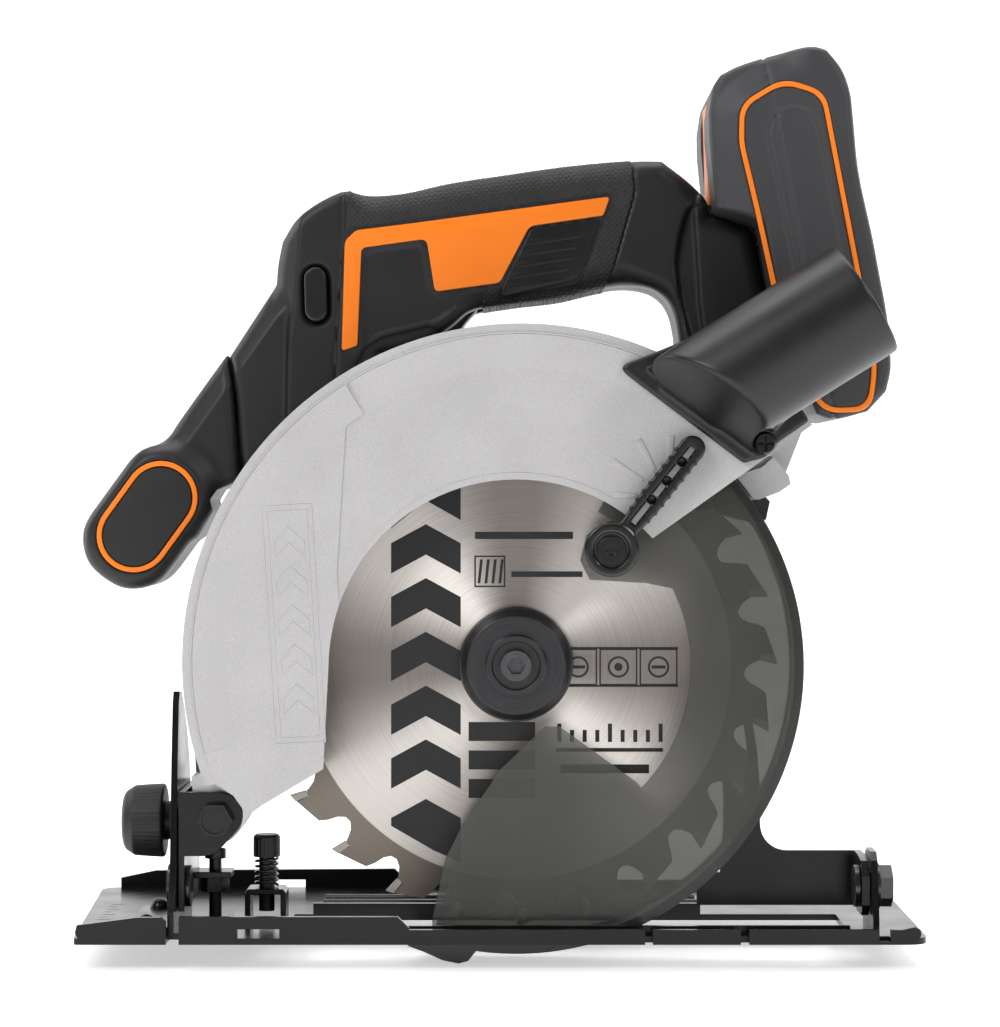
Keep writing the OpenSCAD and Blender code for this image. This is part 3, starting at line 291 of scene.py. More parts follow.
def smoke():
    m, nt, b = new_mat("smoked_polycarbonate")
    c = noise_at(nt, 35, 3.0)
    tc = N(nt, "ShaderNodeTexCoord")
    sub = N(nt, "ShaderNodeVectorMath", operation="SUBTRACT")
    sub.inputs[1].default_value = tuple(V(0, 0, AZ))
    nt.links.new(tc.outputs["Object"], sub.inputs[0])
    fl = N(nt, "ShaderNodeVectorMath", operation="MULTIPLY")
    fl.inputs[1].default_value = (1, 0, 1)
    nt.links.new(sub.outputs[0], fl.inputs[0])
    ln = N(nt, "ShaderNodeVectorMath", operation="LENGTH")
    nt.links.new(fl.outputs[0], ln.inputs[0])
    k = N(nt, "ShaderNodeMapRange")
    k.inputs["From Min"].default_value = 0.0868
    k.inputs["From Max"].default_value = 0.0874
    nt.links.new(ln.outputs["Value"], k.inputs["Value"])
    mx = N(nt, "ShaderNodeMix")
    mx.data_type = "RGBA"
    mx.inputs[7].default_value = (0.020, 0.019, 0.017, 1)
    nt.links.new(colour_between(nt, c, (0.060, 0.061, 0.054), (0.080, 0.081, 0.072)), mx.inputs[6])
    nt.links.new(k.outputs["Result"], mx.inputs[0])
    nt.links.new(mx.outputs[2], b.inputs["Base Color"])
    nt.links.new(ramp(nt, noise_at(nt, 900, 2.0), 0.16, 0.22), b.inputs["Roughness"])
    al = N(nt, "ShaderNodeMapRange")
    al.inputs["To Min"].default_value = 0.53
    al.inputs["To Max"].default_value = 0.93
    nt.links.new(k.outputs["Result"], al.inputs["Value"])
    nt.links.new(al.outputs["Result"], b.inputs["Alpha"])
    b.inputs["Specular IOR Level"].default_value = 0.42
    b.inputs["IOR"].default_value = 1.5
    return m


M["smoke"] = smoke()


def blade_zones(m):
    """Inside 68 mm the disc is turned bright; outside it the ground rim is duller and browner. Four bright and four
    dull sectors of painted highlight are also multiplied into the colour.
    """
    nt = m.node_tree
    b = nt.nodes["Principled BSDF"]
    ln = [n for n in nt.nodes if n.type == "VECT_MATH" and n.operation == "LENGTH"][0]
    k = N(nt, "ShaderNodeMapRange")
    k.inputs["From Min"].default_value = 0.0678
    k.inputs["From Max"].default_value = 0.0682
    nt.links.new(ln.outputs["Value"], k.inputs["Value"])
    # painted highlight: four bright and four dull sectors multiplied into the base colour stand in for the turned
    # disc's reflection fans, and they turn with the blade
    sep = [n for n in nt.nodes if n.type == "SEPXYZ"][0]
    at = N(nt, "ShaderNodeMath", operation="ARCTAN2")
    nt.links.new(sep.outputs["Z"], at.inputs[0])
    nt.links.new(sep.outputs["X"], at.inputs[1])
    m4 = N(nt, "ShaderNodeMath", operation="MULTIPLY")
    m4.inputs[1].default_value = 4.0
    nt.links.new(at.outputs[0], m4.inputs[0])
    cs = N(nt, "ShaderNodeMath", operation="COSINE")
    nt.links.new(m4.outputs[0], cs.inputs[0])
    fan = N(nt, "ShaderNodeMapRange")
    fan.inputs["From Min"].default_value = -0.75
    fan.inputs["From Max"].default_value = 0.9
    nt.links.new(cs.outputs[0], fan.inputs["Value"])
    painted_sheen_mix = N(nt, "ShaderNodeMix")
    painted_sheen_mix.data_type = "RGBA"
    painted_sheen_mix.blend_type = "MULTIPLY"
    painted_sheen_mix.inputs[7].default_value = (0.42, 0.405, 0.40, 1)
    nt.links.new(b.inputs["Base Color"].links[0].from_socket, painted_sheen_mix.inputs[6])
    nt.links.new(fan.outputs["Result"], painted_sheen_mix.inputs[0])
    nt.links.new(painted_sheen_mix.outputs[2], b.inputs["Base Color"])
    for sock, lo in (("Base Color", None), ("Roughness", None)):
        src = b.inputs[sock].links[0].from_socket
        mx = N(nt, "ShaderNodeMix")
        if sock == "Base Color":
            mx.data_type = "RGBA"
            mx.blend_type = "MULTIPLY"
            mx.inputs[7].default_value = (0.50, 0.465, 0.425, 1)
            nt.links.new(src, mx.inputs[6])
            nt.links.new(k.outputs["Result"], mx.inputs[0])
            nt.links.new(mx.outputs[2], b.inputs[sock])
        else:
            ad = N(nt, "ShaderNodeMath", operation="MULTIPLY_ADD")
            ad.inputs[1].default_value = 0.22
            nt.links.new(k.outputs["Result"], ad.inputs[0])
            nt.links.new(src, ad.inputs[2])
            nt.links.new(ad.outputs[0], b.inputs[sock])


blade_zones(M["blade"])
M["lever_clear"] = surface("lever_clear_strip", (0.20, 0.205, 0.195), 0.30, 0.0, grain=700, grain_bump=0.12, vary=0.12, spec=0.6)


# ---------------------------------------------------------------- mesh helpers
def finish_mesh(me, name, mat, body, replaces=(), smooth_angle=30.0, mats=None):
    for x in (mats or [mat]):
        me.materials.append(x)
    me.polygons.foreach_set("use_smooth", [True] * len(me.polygons))
    me.set_sharp_from_angle(angle=math.radians(smooth_angle))
    ob = bpy.data.objects.new(name, me)
    bpy.context.scene.collection.objects.link(ob)
    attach(ob, body)
    if replaces:
        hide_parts(*replaces)
    return ob


def mesh_of(name, verts, faces, body, mat, replaces=(), smooth_angle=30.0):
    """verts in blade millimetres."""
    v = (np.asarray(verts, float) + [OX, OY, 0.0]) / 1000.0
    me = bpy.data.meshes.new(name)
    me.from_pydata([tuple(p) for p in v], [], [tuple(int(i) for i in f) for f in faces])
    me.validate()
    me.update()
    return finish_mesh(me, name, mat, body, replaces, smooth_angle)


def refine(node, body, mat, w=0.3, seg=2, ang=32.0, name=None, slot=None, smooth_angle=32.0, dissolve=0.6, weight=None):
    """The CAD node's own shape with its flat faces merged and its edges rounded."""
    src = NODES[node]
    bm = bmesh.new()
    bm.from_mesh(src.data)
    bmesh.ops.remove_doubles(bm, verts=bm.verts, dist=2e-6)
    bmesh.ops.dissolve_limit(bm, angle_limit=math.radians(dissolve), verts=bm.verts, edges=bm.edges, delimit={"NORMAL"})
    me = bpy.data.meshes.new((name or node) + "_v")
    if weight is not None:
        lay = bm.edges.layers.float.new("bevel_weight_edge")
        for e in bm.edges:
            e[lay] = weight(e)
    bm.to_mesh(me)
    bm.free()
    ob = finish_mesh(me, (name or node) + "_v", mat, body, (node,), smooth_angle)
    if w:
        b = ob.modifiers.new("round", "BEVEL")
        b.width = w / 1000
        b.segments = seg
        b.limit_method = "ANGLE" if weight is None else "WEIGHT"
        b.angle_limit = math.radians(ang)
        b.harden_normals = False
        b.use_clamp_overlap = True
        b.miter_outer = "MITER_ARC"
        wn = ob.modifiers.new("normals", "WEIGHTED_NORMAL")
        wn.keep_sharp = True
        wn.weight = 80
    return ob


def plate(name, loops, y0, y1, body, mat, r=0.4, res=3, axis="Y", replaces=(), smooth_angle=32.0):
    """A flat piece from closed outlines (the first is the rim, the rest are holes), its edges rounded by r.
    axis Y: outlines in (x, z), thick from y0 to y1. axis X: outlines in (y, z). axis Z: outlines in (x, y)."""
    cu = bpy.data.curves.new(name, "CURVE")
    cu.dimensions = "2D"
    cu.fill_mode = "BOTH"
    r = min(r, (y1 - y0) / 2 * 0.98)
    cu.extrude = (y1 - y0) / 2 - r
    cu.bevel_depth = r
    cu.bevel_resolution = res
    cu.offset = -r
    for lp in loops:
        sp = cu.splines.new("POLY")
        sp.points.add(len(lp) - 1)
        for q, (a, b) in zip(sp.points, lp):
            q.co = (a, b, 0, 1)
        sp.use_cyclic_u = True
    tmp = bpy.data.objects.new(name + "_c", cu)
    bpy.context.scene.collection.objects.link(tmp)
    dg = bpy.context.evaluated_depsgraph_get()
    me = bpy.data.meshes.new_from_object(tmp.evaluated_get(dg), depsgraph=dg)
    bpy.data.objects.remove(tmp)
    bpy.data.curves.remove(cu)
    n = len(me.vertices)
    co = np.empty(n * 3)
    me.vertices.foreach_get("co", co)
    co = co.reshape(-1, 3)
    c = (y0 + y1) / 2
    if axis == "Y":
        out = np.stack([co[:, 0], c - co[:, 2], co[:, 1]], 1)
    elif axis == "X":
        out = np.stack([c + co[:, 2], co[:, 0], co[:, 1]], 1)
    else:
        out = np.stack([co[:, 0], co[:, 1], c + co[:, 2]], 1)
    out = (out + [OX, OY, 0.0]) / 1000
    me.vertices.foreach_set("co", out.reshape(-1))
    bm = bmesh.new()
    bm.from_mesh(me)
    bmesh.ops.remove_doubles(bm, verts=bm.verts, dist=1e-6)
    bmesh.ops.recalc_face_normals(bm, faces=bm.faces)
    bm.to_mesh(me)
    bm.free()
    return finish_mesh(me, name, mat, body, replaces, smooth_angle)


def circle(c, r, n=64, a0=0.0, a1=360.0, closed=True):
    m = n if closed else n + 1
    return [(c[0] + r * math.cos(math.radians(a0 + (a1 - a0) * i / n)), c[1] + r * math.sin(math.radians(a0 + (a1 - a0) * i / n))) for i in range(m)]


def spline(pts, n=6, corner=40.0):
    """A smooth closed curve through pts; a turn sharper than corner degrees stays a corner."""
    p = np.asarray(pts, float)
    k = len(p)
    out = []
    tan = []
    for i in range(k):
        a, b, c = p[i - 1], p[i], p[(i + 1) % k]
        u, v = b - a, c - b
        u /= np.linalg.norm(u) + 1e-9
        v /= np.linalg.norm(v) + 1e-9
        ang = math.degrees(math.acos(max(-1, min(1, float(u @ v)))))
        if ang > corner:
            tan.append((u, v))
        else:
            t = u + v
            t /= np.linalg.norm(t) + 1e-9
            tan.append((t, t))
    for i in range(k):
        a, b = p[i], p[(i + 1) % k]
        L = np.linalg.norm(b - a)
        m0, m1 = tan[i][1] * L, tan[(i + 1) % k][0] * L
        for j in range(n):
            t = j / n
            h = (2 * t**3 - 3 * t**2 + 1) * a + (t**3 - 2 * t**2 + t) * m0 + (-2 * t**3 + 3 * t**2) * b + (t**3 - t**2) * m1
            out.append((float(h[0]), float(h[1])))
    return out


def lathe(name, prof, body, mat, c=(0.0, AZ), n=96, replaces=(), slot=None, axis="Y", smooth_angle=32.0, centre=None):
    """prof is a closed list of (r, y) in millimetres turned about the Y axis through (x, z) = c."""
    prof = np.asarray(prof, float)
    k = len(prof)
    a = np.linspace(0, 2 * np.pi, n, endpoint=False)
    if axis == "Y":
        X = c[0] + prof[None, :, 0] * np.cos(a)[:, None]
        Z = c[1] + prof[None, :, 0] * np.sin(a)[:, None]
        Y = np.broadcast_to(prof[None, :, 1], X.shape)
    elif axis == "X":  # c is (y, z), profile (r, x)
        Y = c[0] + prof[None, :, 0] * np.cos(a)[:, None]
        Z = c[1] + prof[None, :, 0] * np.sin(a)[:, None]
        X = np.broadcast_to(prof[None, :, 1], Y.shape)
    else:  # Z: c is (x, y), profile (r, z)
        X = c[0] + prof[None, :, 0] * np.cos(a)[:, None]
        Y = c[1] + prof[None, :, 0] * np.sin(a)[:, None]
        Z = np.broadcast_to(prof[None, :, 1], X.shape)
    vs = np.stack([X, Y, Z], -1).reshape(-1, 3)
    fs = []
    for i in range(n):
        i2 = (i + 1) % n
        for j in range(k):
            j2 = (j + 1) % k
            fs.append((i * k + j, i2 * k + j, i2 * k + j2, i * k + j2))
    ob = mesh_of(name, vs, fs, body, mat, replaces, smooth_angle)
    bm = bmesh.new()
    bm.from_mesh(ob.data)
    bmesh.ops.remove_doubles(bm, verts=bm.verts, dist=1e-7)
    bmesh.ops.dissolve_degenerate(bm, edges=bm.edges, dist=1e-7)
    bmesh.ops.recalc_face_normals(bm, faces=bm.faces)
    bm.to_mesh(ob.data)
    bm.free()
    ob.data.set_sharp_from_angle(angle=math.radians(smooth_angle))
    return ob


# ---------------------------------------------------------------- solids from distance fields
def sdf_poly(pts, X, Z):
    p = np.asarray(pts, np.float32)
    d = np.full(X.shape, 1e9, np.float32)
    inside = np.zeros(X.shape, bool)
    k = len(p)
    for i in range(k):
        a, b = p[i], p[(i + 1) % k]
        ex, ez = b - a
        L = ex * ex + ez * ez
        if L < 1e-10:
            continue
        wx, wz = X - a[0], Z - a[1]
        t = np.clip((wx * ex + wz * ez) / L, 0, 1)
        dd = (wx - ex * t) ** 2 + (wz - ez * t) ** 2
        np.minimum(d, dd, out=d)
        if ez != 0:
            cr = (a[1] <= Z) != (b[1] <= Z)
            xi = a[0] + (Z - a[1]) * (ex / ez)
            inside ^= cr & (X < xi)
    return np.where(inside, -np.sqrt(d), np.sqrt(d))


def smin(a, b, k):
    h = np.clip(0.5 + 0.5 * (b - a) / k, 0, 1)
    return b * (1 - h) + a * h - k * h * (1 - h)


def smax(a, b, k):
    return -smin(-a, -b, k)


def rounded(d, w, r):
    """Intersection of two distances with an edge radius r."""
    a, b = d + r, w + r
    return np.minimum(np.maximum(a, b), 0) + np.sqrt(np.maximum(a, 0) ** 2 + np.maximum(b, 0) ** 2) - r


class Grid:
    def __init__(self, lo, hi, h):
        self.h = h
        self.lo = np.array(lo, np.float32)
        n = [int(math.ceil((hi[i] - lo[i]) / h)) + 1 for i in range(3)]
        self.x = (lo[0] + np.arange(n[0]) * h).astype(np.float32)
        self.y = (lo[1] + np.arange(n[1]) * h).astype(np.float32)
        self.z = (lo[2] + np.arange(n[2]) * h).astype(np.float32)
        self.X2, self.Z2 = np.meshgrid(self.x, self.z, indexing="ij")
        self.X = self.x[:, None, None]
        self.Y = self.y[None, :, None]
        self.Z = self.z[None, None, :]

    def flat(self, d2):
        return d2[:, None, :]

    def poly(self, pts):
        return sdf_poly(pts, self.X2, self.Z2)[:, None, :]


def nets(F, g):
    F = F.astype(np.float32)
    F[0], F[-1] = np.maximum(F[0], 0.01), np.maximum(F[-1], 0.01)
    F[:, 0], F[:, -1] = np.maximum(F[:, 0], 0.01), np.maximum(F[:, -1], 0.01)
    F[:, :, 0], F[:, :, -1] = np.maximum(F[:, :, 0], 0.01), np.maximum(F[:, :, -1], 0.01)
    s = F < 0
    nx, ny, nz = s.shape
    cnt = np.zeros((nx - 1, ny - 1, nz - 1), np.int8)
    for i in (0, 1):
        for j in (0, 1):
            for k in (0, 1):
                cnt += s[i:nx - 1 + i, j:ny - 1 + j, k:nz - 1 + k]
    act = (cnt > 0) & (cnt < 8)
    I, J, K = np.nonzero(act)
    idx = np.full(act.shape, -1, np.int64)
    idx[I, J, K] = np.arange(len(I))
    P = np.zeros((len(I), 3), np.float32)
    C = np.zeros(len(I), np.float32)
    cor = [(i, j, k) for i in (0, 1) for j in (0, 1) for k in (0, 1)]
    val = {c: F[I + c[0], J + c[1], K + c[2]] for c in cor}
    for a in cor:
        for ax in range(3):
            if a[ax] == 0:
                b = tuple(a[q] + (1 if q == ax else 0) for q in range(3))
                fa, fb = val[a], val[b]
                m = (fa < 0) != (fb < 0)
                t = np.where(m, fa / np.where(m, fa - fb, 1), 0)
                for q in range(3):
                    P[:, q] += np.where(m, a[q] + (t if q == ax else 0), 0)
                C += m
    P /= C[:, None]
    P += np.stack([I, J, K], 1)
    P = P * g.h + g.lo
    quads = []
    for ax in range(3):
        o1, o2 = [(1, 2), (2, 0), (0, 1)][ax]
        sl0 = [slice(None)] * 3
        sl1 = [slice(None)] * 3
        sl0[ax] = slice(0, -1)
        sl1[ax] = slice(1, None)
        A, B = s[tuple(sl0)], s[tuple(sl1)]
        ch = A != B
        lim = [slice(None)] * 3
        E = np.array(np.nonzero(ch))
        ok = (E[o1] > 0) & (E[o1] < s.shape[o1] - 1) & (E[o2] > 0) & (E[o2] < s.shape[o2] - 1)
        E = E[:, ok]
        ins = A[tuple(E)]

        def cell(d1, d2):
            e = E.copy()
            e[o1] += d1
            e[o2] += d2
            return idx[tuple(e)]

        q = np.stack([cell(-1, -1), cell(0, -1), cell(0, 0), cell(-1, 0)], 1)
        q[~ins] = q[~ins][:, ::-1]
        quads.append(q)
    Q = np.concatenate(quads)
    Q = Q[(Q >= 0).all(1)]
    return P, Q


def relax(P, Q, n=1, k=0.5):
    """A light smoothing of the voxel surface that keeps its volume."""
    E = np.concatenate([Q[:, [0, 1]], Q[:, [1, 2]], Q[:, [2, 3]], Q[:, [3, 0]]])
    E = np.concatenate([E, E[:, ::-1]])
    deg = np.bincount(E[:, 0], minlength=len(P)).astype(np.float32)[:, None]
    for it in range(n):
        for f in (k, -k * 1.02):
            acc = np.zeros_like(P)
            for c in range(3):
                acc[:, c] = np.bincount(E[:, 0], weights=P[E[:, 1], c], minlength=len(P))
            P = P + f * (acc / np.maximum(deg, 1) - P)
    return P


def solid(name, F, g, body, mat, replaces=(), smooth=2, smooth_angle=60.0):
    P, Q = nets(F, g)
    P = relax(P, Q, smooth)
    v = (P.astype(float) + [OX, OY, 0.0]) / 1000
    me = bpy.data.meshes.new(name)
    me.vertices.add(len(v))
    me.vertices.foreach_set("co", v.reshape(-1))
    me.loops.add(len(Q) * 4)
    me.loops.foreach_set("vertex_index", Q.reshape(-1).astype(np.int32))
    me.polygons.add(len(Q))
    me.polygons.foreach_set("loop_start", np.arange(len(Q), dtype=np.int32) * 4)
    me.update(calc_edges=True)
    me.validate()
    bm = bmesh.new()
    bm.from_mesh(me)
    loose = [x for x in bm.verts if not x.link_faces]
    bmesh.ops.delete(bm, geom=loose, context="VERTS")
    bm.to_mesh(me)
    bm.free()
    return finish_mesh(me, name, mat, body, replaces, smooth_angle)
BODY = {n: b for b, ns in frame["record"]["behaviour"]["bodies"].items() for n in ns}


# ---------------------------------------------------------------- metal work and fittings
def guard_weight(e):
    if len(e.link_faces) != 2:
        return 0.0
    if e.calc_face_angle(0.0) < math.radians(30):
        return 0.0
    a, b = e.verts[0].co, e.verts[1].co
    m = (a + b) / 2 * 1000
    x, y, z = m.x - OX, m.y - OY, m.z
    R = math.hypot(x - 1.5, z - 86.5)
    if R > 104.8 and (y < -14.5 or y > 12.5):
        return 1.0
    if y < -14.5 and abs(math.hypot(x, z - 85) - 58.4) < 0.8:
        return 0.4
    if abs(y + 15.4) < 0.1:
        return 0.13
    if y < -14.5 and x > 38:
        return 0.5
    return 0.22


refine("shoe", "shoe", M["black_steel"], 0.5, 3, slot="black_steel")
refine("bevel_quadrant", "shoe", M["black_steel"], 0.4, 2, slot="black_steel")
refine("fence_bridge", BODY["fence_bridge"], M["black_steel"], 0.35, 2, slot="black_steel")


def hardware(node, mat, w=0.3, seg=2, slot=None, **kw):
    return refine(node, BODY[node], M[mat], w, seg, slot=slot, **kw)


hardware("bevel_pivot_pins", "zinc", 0.3, 2, "zinc_steel")
hardware("fence_screw", "black_screw", 0.12, 2, "black_screw")
hardware("bevel_bracket", "black_steel", 0.5, 3, "black_steel")
hardware("depth_bracket", "black_steel", 0.5, 2, "black_steel")
hardware("depth_pivot_bolt", "black_screw", 0.45, 3, "black_screw")
hardware("bevel_stop_screw", "black_screw", 0.2, 2, "black_screw")
hardware("bevel_stud", "zinc", 0.25, 2, "zinc_steel")
hardware("depth_lock_bolt", "zinc", 0.3, 2, "zinc_steel")
hardware("depth_lock_lever", "lever", 0.7, 3, "lever_plastic")
hardware("dust_port_screw", "black_screw", 0.14, 2, "black_screw")
hardware("gear_case", "raw", 0.5, 2, "raw_casting")
hardware("gear_case_cover", "raw", 0.5, 2, "raw_casting")
hardware("case_screws", "zinc", 0.25, 2, "zinc_steel")
hardware("lever_screw", "black_screw", 0.3, 3, "black_screw")
hardware("carbide_tips", "carbide", 0.12, 1, "carbide")
hardware("inner_flange", "flange", 0.2, 2, "dark_flange")
hardware("outer_flange", "flange", 0.35, 3, "dark_flange")
hardware("blade_bolt", "bolt", 0.3, 3, "dark_flange")
hardware("handle_screws", "zinc", 0.25, 2, "zinc_steel")
hardware("spindle_lock_button", "orange", 0.5, 3, "orange_plastic")
hardware("battery_rail", "black_plastic", 0.3, 2, "black_plastic")
hardware("battery_release_button", "orange", 0.6, 3, "orange_plastic")
for nd in ("fence_spring", "guard_spring", "spindle_lock_spring"):
    refine(nd, BODY[nd], M["wire"], 0, 0, slot="spring_steel", dissolve=0.0, smooth_angle=85.0)

# hidden or inner CAD nodes keep their own mesh
for nd, mt in (("spindle", "motor"), ("driven_gear", "motor"), ("spindle_bearings", "zinc"), ("armature", "motor"), ("commutator", "copper"),
               ("cooling_fan", "black_plastic"), ("motor_can", "motor"), ("motor_magnets", "ferrite"), ("carbon_brushes", "ferrite"),
               ("motor_bearings", "zinc"), ("switch_body", "black_plastic"), ("control_board", "board"), ("battery_cells", "cell")):
    o = NODES[nd]
    o.data.materials.clear()
    o.data.materials.append(M[mt])
    o.data.polygons.foreach_set("use_smooth", [True] * len(o.data.polygons))
    o.data.set_sharp_from_angle(angle=math.radians(32))

# ---------------------------------------------------------------- upper guard
refine("upper_guard", BODY["upper_guard"], M["cast"], 1.7, 4, slot="cast_silver", weight=guard_weight, smooth_angle=40.0)
GB = BODY["upper_guard"]


def rot(pts, c, a):
    ca, sa = math.cos(math.radians(a)), math.sin(math.radians(a))
    return [(c[0] + x * ca - z * sa, c[1] + x * sa + z * ca) for x, z in pts]


def frame_loops(w, h, t, c, a, k=0.0):
    o = [(-w / 2 - k, -h / 2), (w / 2 - k, -h / 2), (w / 2 + k, h / 2), (-w / 2 + k, h / 2)]
    i = [(-w / 2 - k + t, -h / 2 + t), (w / 2 - k - t, -h / 2 + t), (w / 2 + k - t, h / 2 - t), (-w / 2 + k + t, h / 2 - t)]
    return [rot(o, c, a), rot(i, c, a)]


# outlined plate on the front of the guard, with three nested chevrons
pc, pa = (-69.3, 98.4), 3.4
plate("guard_plate_frame", frame_loops(16.0, 74.5, 0.45, pc, pa), -15.62, -15.3, GB, M["cast"], 0.14, 2)
plate("guard_plate_inner", frame_loops(12.6, 71.0, 0.4, pc, pa), -15.6, -15.3, GB, M["cast"], 0.14, 2)
for i, zc in enumerate((-24.5, -12.2, 0.0, 12.2, 24.5)):
    o = [(-5.0, -4.6), (0.0, 0.2), (5.0, -4.6), (5.0, 1.2), (0.0, 6.0), (-5.0, 1.2)]
    q = [(-4.45, -3.35), (0.0, 0.95), (4.45, -3.35), (4.45, 0.95), (0.0, 5.25), (-4.45, 0.95)]
    plate("guard_chevron_%d" % i, [rot([(x, z + zc) for x, z in o], pc, pa), rot([(x, z + zc) for x, z in q], pc, pa)], -15.6, -15.3, GB, M["cast"], 0.14, 2)

# raised rays beside the lever's parking place
for i, (a, r0, r1, w) in enumerate(((88, 9.5, 19, 2.2), (118, 9.5, 20, 2.2), (148, 9.5, 20.5, 2.2), (178, 10, 17.5, 2.2))):
    c = (47.5, 138.0)
    pts = [(r0, -w * 0.32), (r1, -w * 0.5), (r1, w * 0.5), (r0, w * 0.32)]
    plate("guard_ray_%d" % i, [rot(pts, c, a)], -15.35, -14.9, GB, M["cast"], 0.18, 2)

# fine raised line that runs along the window
line = [(60.6 * math.cos(math.radians(t)), 85 + 60.6 * math.sin(math.radians(t))) for t in range(143, 55, -3)]
line2 = [(60.15 * math.cos(math.radians(t)), 85 + 60.15 * math.sin(math.radians(t))) for t in range(56, 144, 3)]
plate("guard_window_line", [line + line2], -15.2, -14.9, GB, M["cast"], 0.12, 2)
# inner edge of the rim bead
arc_o = [(1.5 + 102.9 * math.cos(math.radians(t)), 86.5 + 102.9 * math.sin(math.radians(t))) for t in range(196, 63, -3)]
arc_i = [(1.5 + 102.35 * math.cos(math.radians(t)), 86.5 + 102.35 * math.sin(math.radians(t))) for t in range(64, 197, 3)]
plate("guard_rim_line", [arc_o + arc_i], -15.55, -14.8, GB, M["cast"], 0.2, 2)

# shallow slope between the face and the rim bead
def frustum(name, c, r0, r1, ya, yb, yback, a0, a1, body, mat, n=90):
    prof = [(r0, ya), (r1, yb), (r1 + 0.25, yback), (r0, yback)]
    vs, fs = [], []
    for i in range(n + 1):
        t = math.radians(a0 + (a1 - a0) * i / n)
        for r, y in prof:
            vs.append((c[0] + r * math.cos(t), y, c[1] + r * math.sin(t)))
    k = len(prof)
    for i in range(n):
        for j in range(k):
            j2 = (j + 1) % k
            fs.append((i * k + j, i * k + j2, (i + 1) * k + j2, (i + 1) * k + j))
    fs.append(tuple(range(k - 1, -1, -1)))
    fs.append(tuple(n * k + j for j in range(k)))
    ob = mesh_of(name, vs, fs, body, mat, (), 25.0)
    bm = bmesh.new()
    bm.from_mesh(ob.data)
    bmesh.ops.recalc_face_normals(bm, faces=bm.faces)
    bm.to_mesh(ob.data)
    bm.free()
    return ob


frustum("guard_slope_rear", (1.5, 86.5), 91.5, 102.2, -15.0, -15.5, -14.7, 121.5, 66.0, GB, M["cast"])
frustum("guard_slope_front", (1.5, 86.5), 91.5, 102.2, -15.4, -15.9, -15.1, 196.0, 122.3, GB, M["cast"])


# ---------------------------------------------------------------- moulded shells
def seg_dist(line, X, Z):
    d = np.full(X.shape, 1e9, np.float32)
    for (ax, az), (bx, bz) in zip(line[:-1], line[1:]):
        ex, ez = bx - ax, bz - az
        L = ex * ex + ez * ez
        t = np.clip(((X - ax) * ex + (Z - az) * ez) / L, 0, 1)
        d = np.minimum(d, (X - ax - ex * t) ** 2 + (Z - az - ez * t) ** 2)
    return np.sqrt(d)


def step(a, b, v):
    t = np.clip((v - a) / (b - a), 0, 1)
    return t * t * (3 - 2 * t)


def fillet(pts, r, n=5):
    """Straight edges, each corner an arc of radius r (or a list, one per corner) as far as the edges allow."""
    p = [np.asarray(q, float) for q in pts]
    k = len(p)
    rs = r if isinstance(r, (list, tuple)) else [r] * k
    out = []
    for i in range(k):
        a, b, c = p[i - 1], p[i], p[(i + 1) % k]
        u, v = a - b, c - b
        lu, lv = np.linalg.norm(u), np.linalg.norm(v)
        u, v = u / lu, v / lv
        co_ = max(-0.9999, min(0.9999, float(u @ v)))
        half_ = math.acos(co_) / 2
        t_ = min(rs[i] / math.tan(half_), lu * 0.46, lv * 0.46)
        q0, q1 = b + u * t_, b + v * t_
        for j in range(n + 1):
            w_ = j / n
            out.append(tuple((1 - w_) ** 2 * q0 + 2 * w_ * (1 - w_) * b + w_**2 * q1))
    return out


HY, HW = 40.0, 19.0
MOT = (22.5 * math.cos(math.radians(110)), 85 + 22.5 * math.sin(math.radians(110)))
MR = 33.5
LEV = (29.5, 121.5)

h_out = spline([(-54.8, 237.0), (-49.5, 235.6), (-38, 236), (-21.5, 239.5), (-5, 242), (14.5, 244.8), (28, 246.2), (37, 246.8), (47.2, 246.7),
                (57, 239), (61.8, 233.5), (63.2, 229), (75, 225.7), (76.8, 224), (80.5, 206), (83.2, 192), (84.5, 184), (83.5, 170), (78, 158), (70, 154), (60, 153), (32, 153), (26.5, 148),
                (26, 120), (0, 100), (-36, 96), (-44, 100), (-60, 112), (-80, 131), (-87.5, 140), (-88, 143.5), (-89, 147.5), (-91.3, 172.5), (-93.2, 183.5), (-78, 207), (-77.6, 213), (-76, 221), (-71, 228), (-57, 236.6)], 5, 24)
h_loop = spline([(-44, 184), (-30, 187.5), (-21, 193), (-15, 198), (-5, 200.2), (14.5, 202.6), (28, 205.7), (38, 206.4), (45, 204.7), (49.3, 200.8), (52, 193),
                 (52.5, 180), (49, 171), (42, 166.5), (20, 165.5), (-30, 165.5), (-41, 168), (-46, 174)], 5, 40)
inlay = fillet([(-55.3, 220.5), (-51.7, 224.0), (-34, 226.2), (14, 232.7), (30.4, 234.9), (28.2, 228.7), (4.4, 225.3), (-5.2, 207.0), (-26.2, 204.1), (-28.9, 221.2), (-49.9, 218.3), (-51.2, 186.7), (-56.3, 184.9)],
               [4.0, 4.0, 20, 20, 1.0, 1.2, 3.5, 2.5, 1.8, 2.2, 2.0, 1.2, 1.0])
badge = fillet([(4.9, 224.5), (27.3, 227.6), (20.6, 208.4), (-5.6, 202.5)], [2.5, 1.2, 5.0, 1.6])
panel = fillet([(-49.2, 217.2), (-30.2, 219.8), (-27.4, 203.4), (-17.5, 200.2), (-26, 194.8), (-44, 190.6), (-49.2, 186.0)], [2.6, 2.6, 6.0, 2.0, 6.0, 6.0, 4.0])
rubber = [(-54.6, 250), (-54.6, 224.6), (-51.7, 224.7), (-34, 227.2), (14, 233.6), (30.4, 235.8), (31.3, 232.4), (28.7, 228.2), (28.1, 226.2), (22.3, 210.8), (19.8, 206.2), (-3.6, 202.1), (-6.2, 204.4), (-9.0, 205.2),
          (-10.5, 204.8), (-12, 194), (20, 194), (27.3, 204.6), (28.7, 205.3), (31, 211), (37.5, 233.8), (38.1, 237), (36.8, 252)]


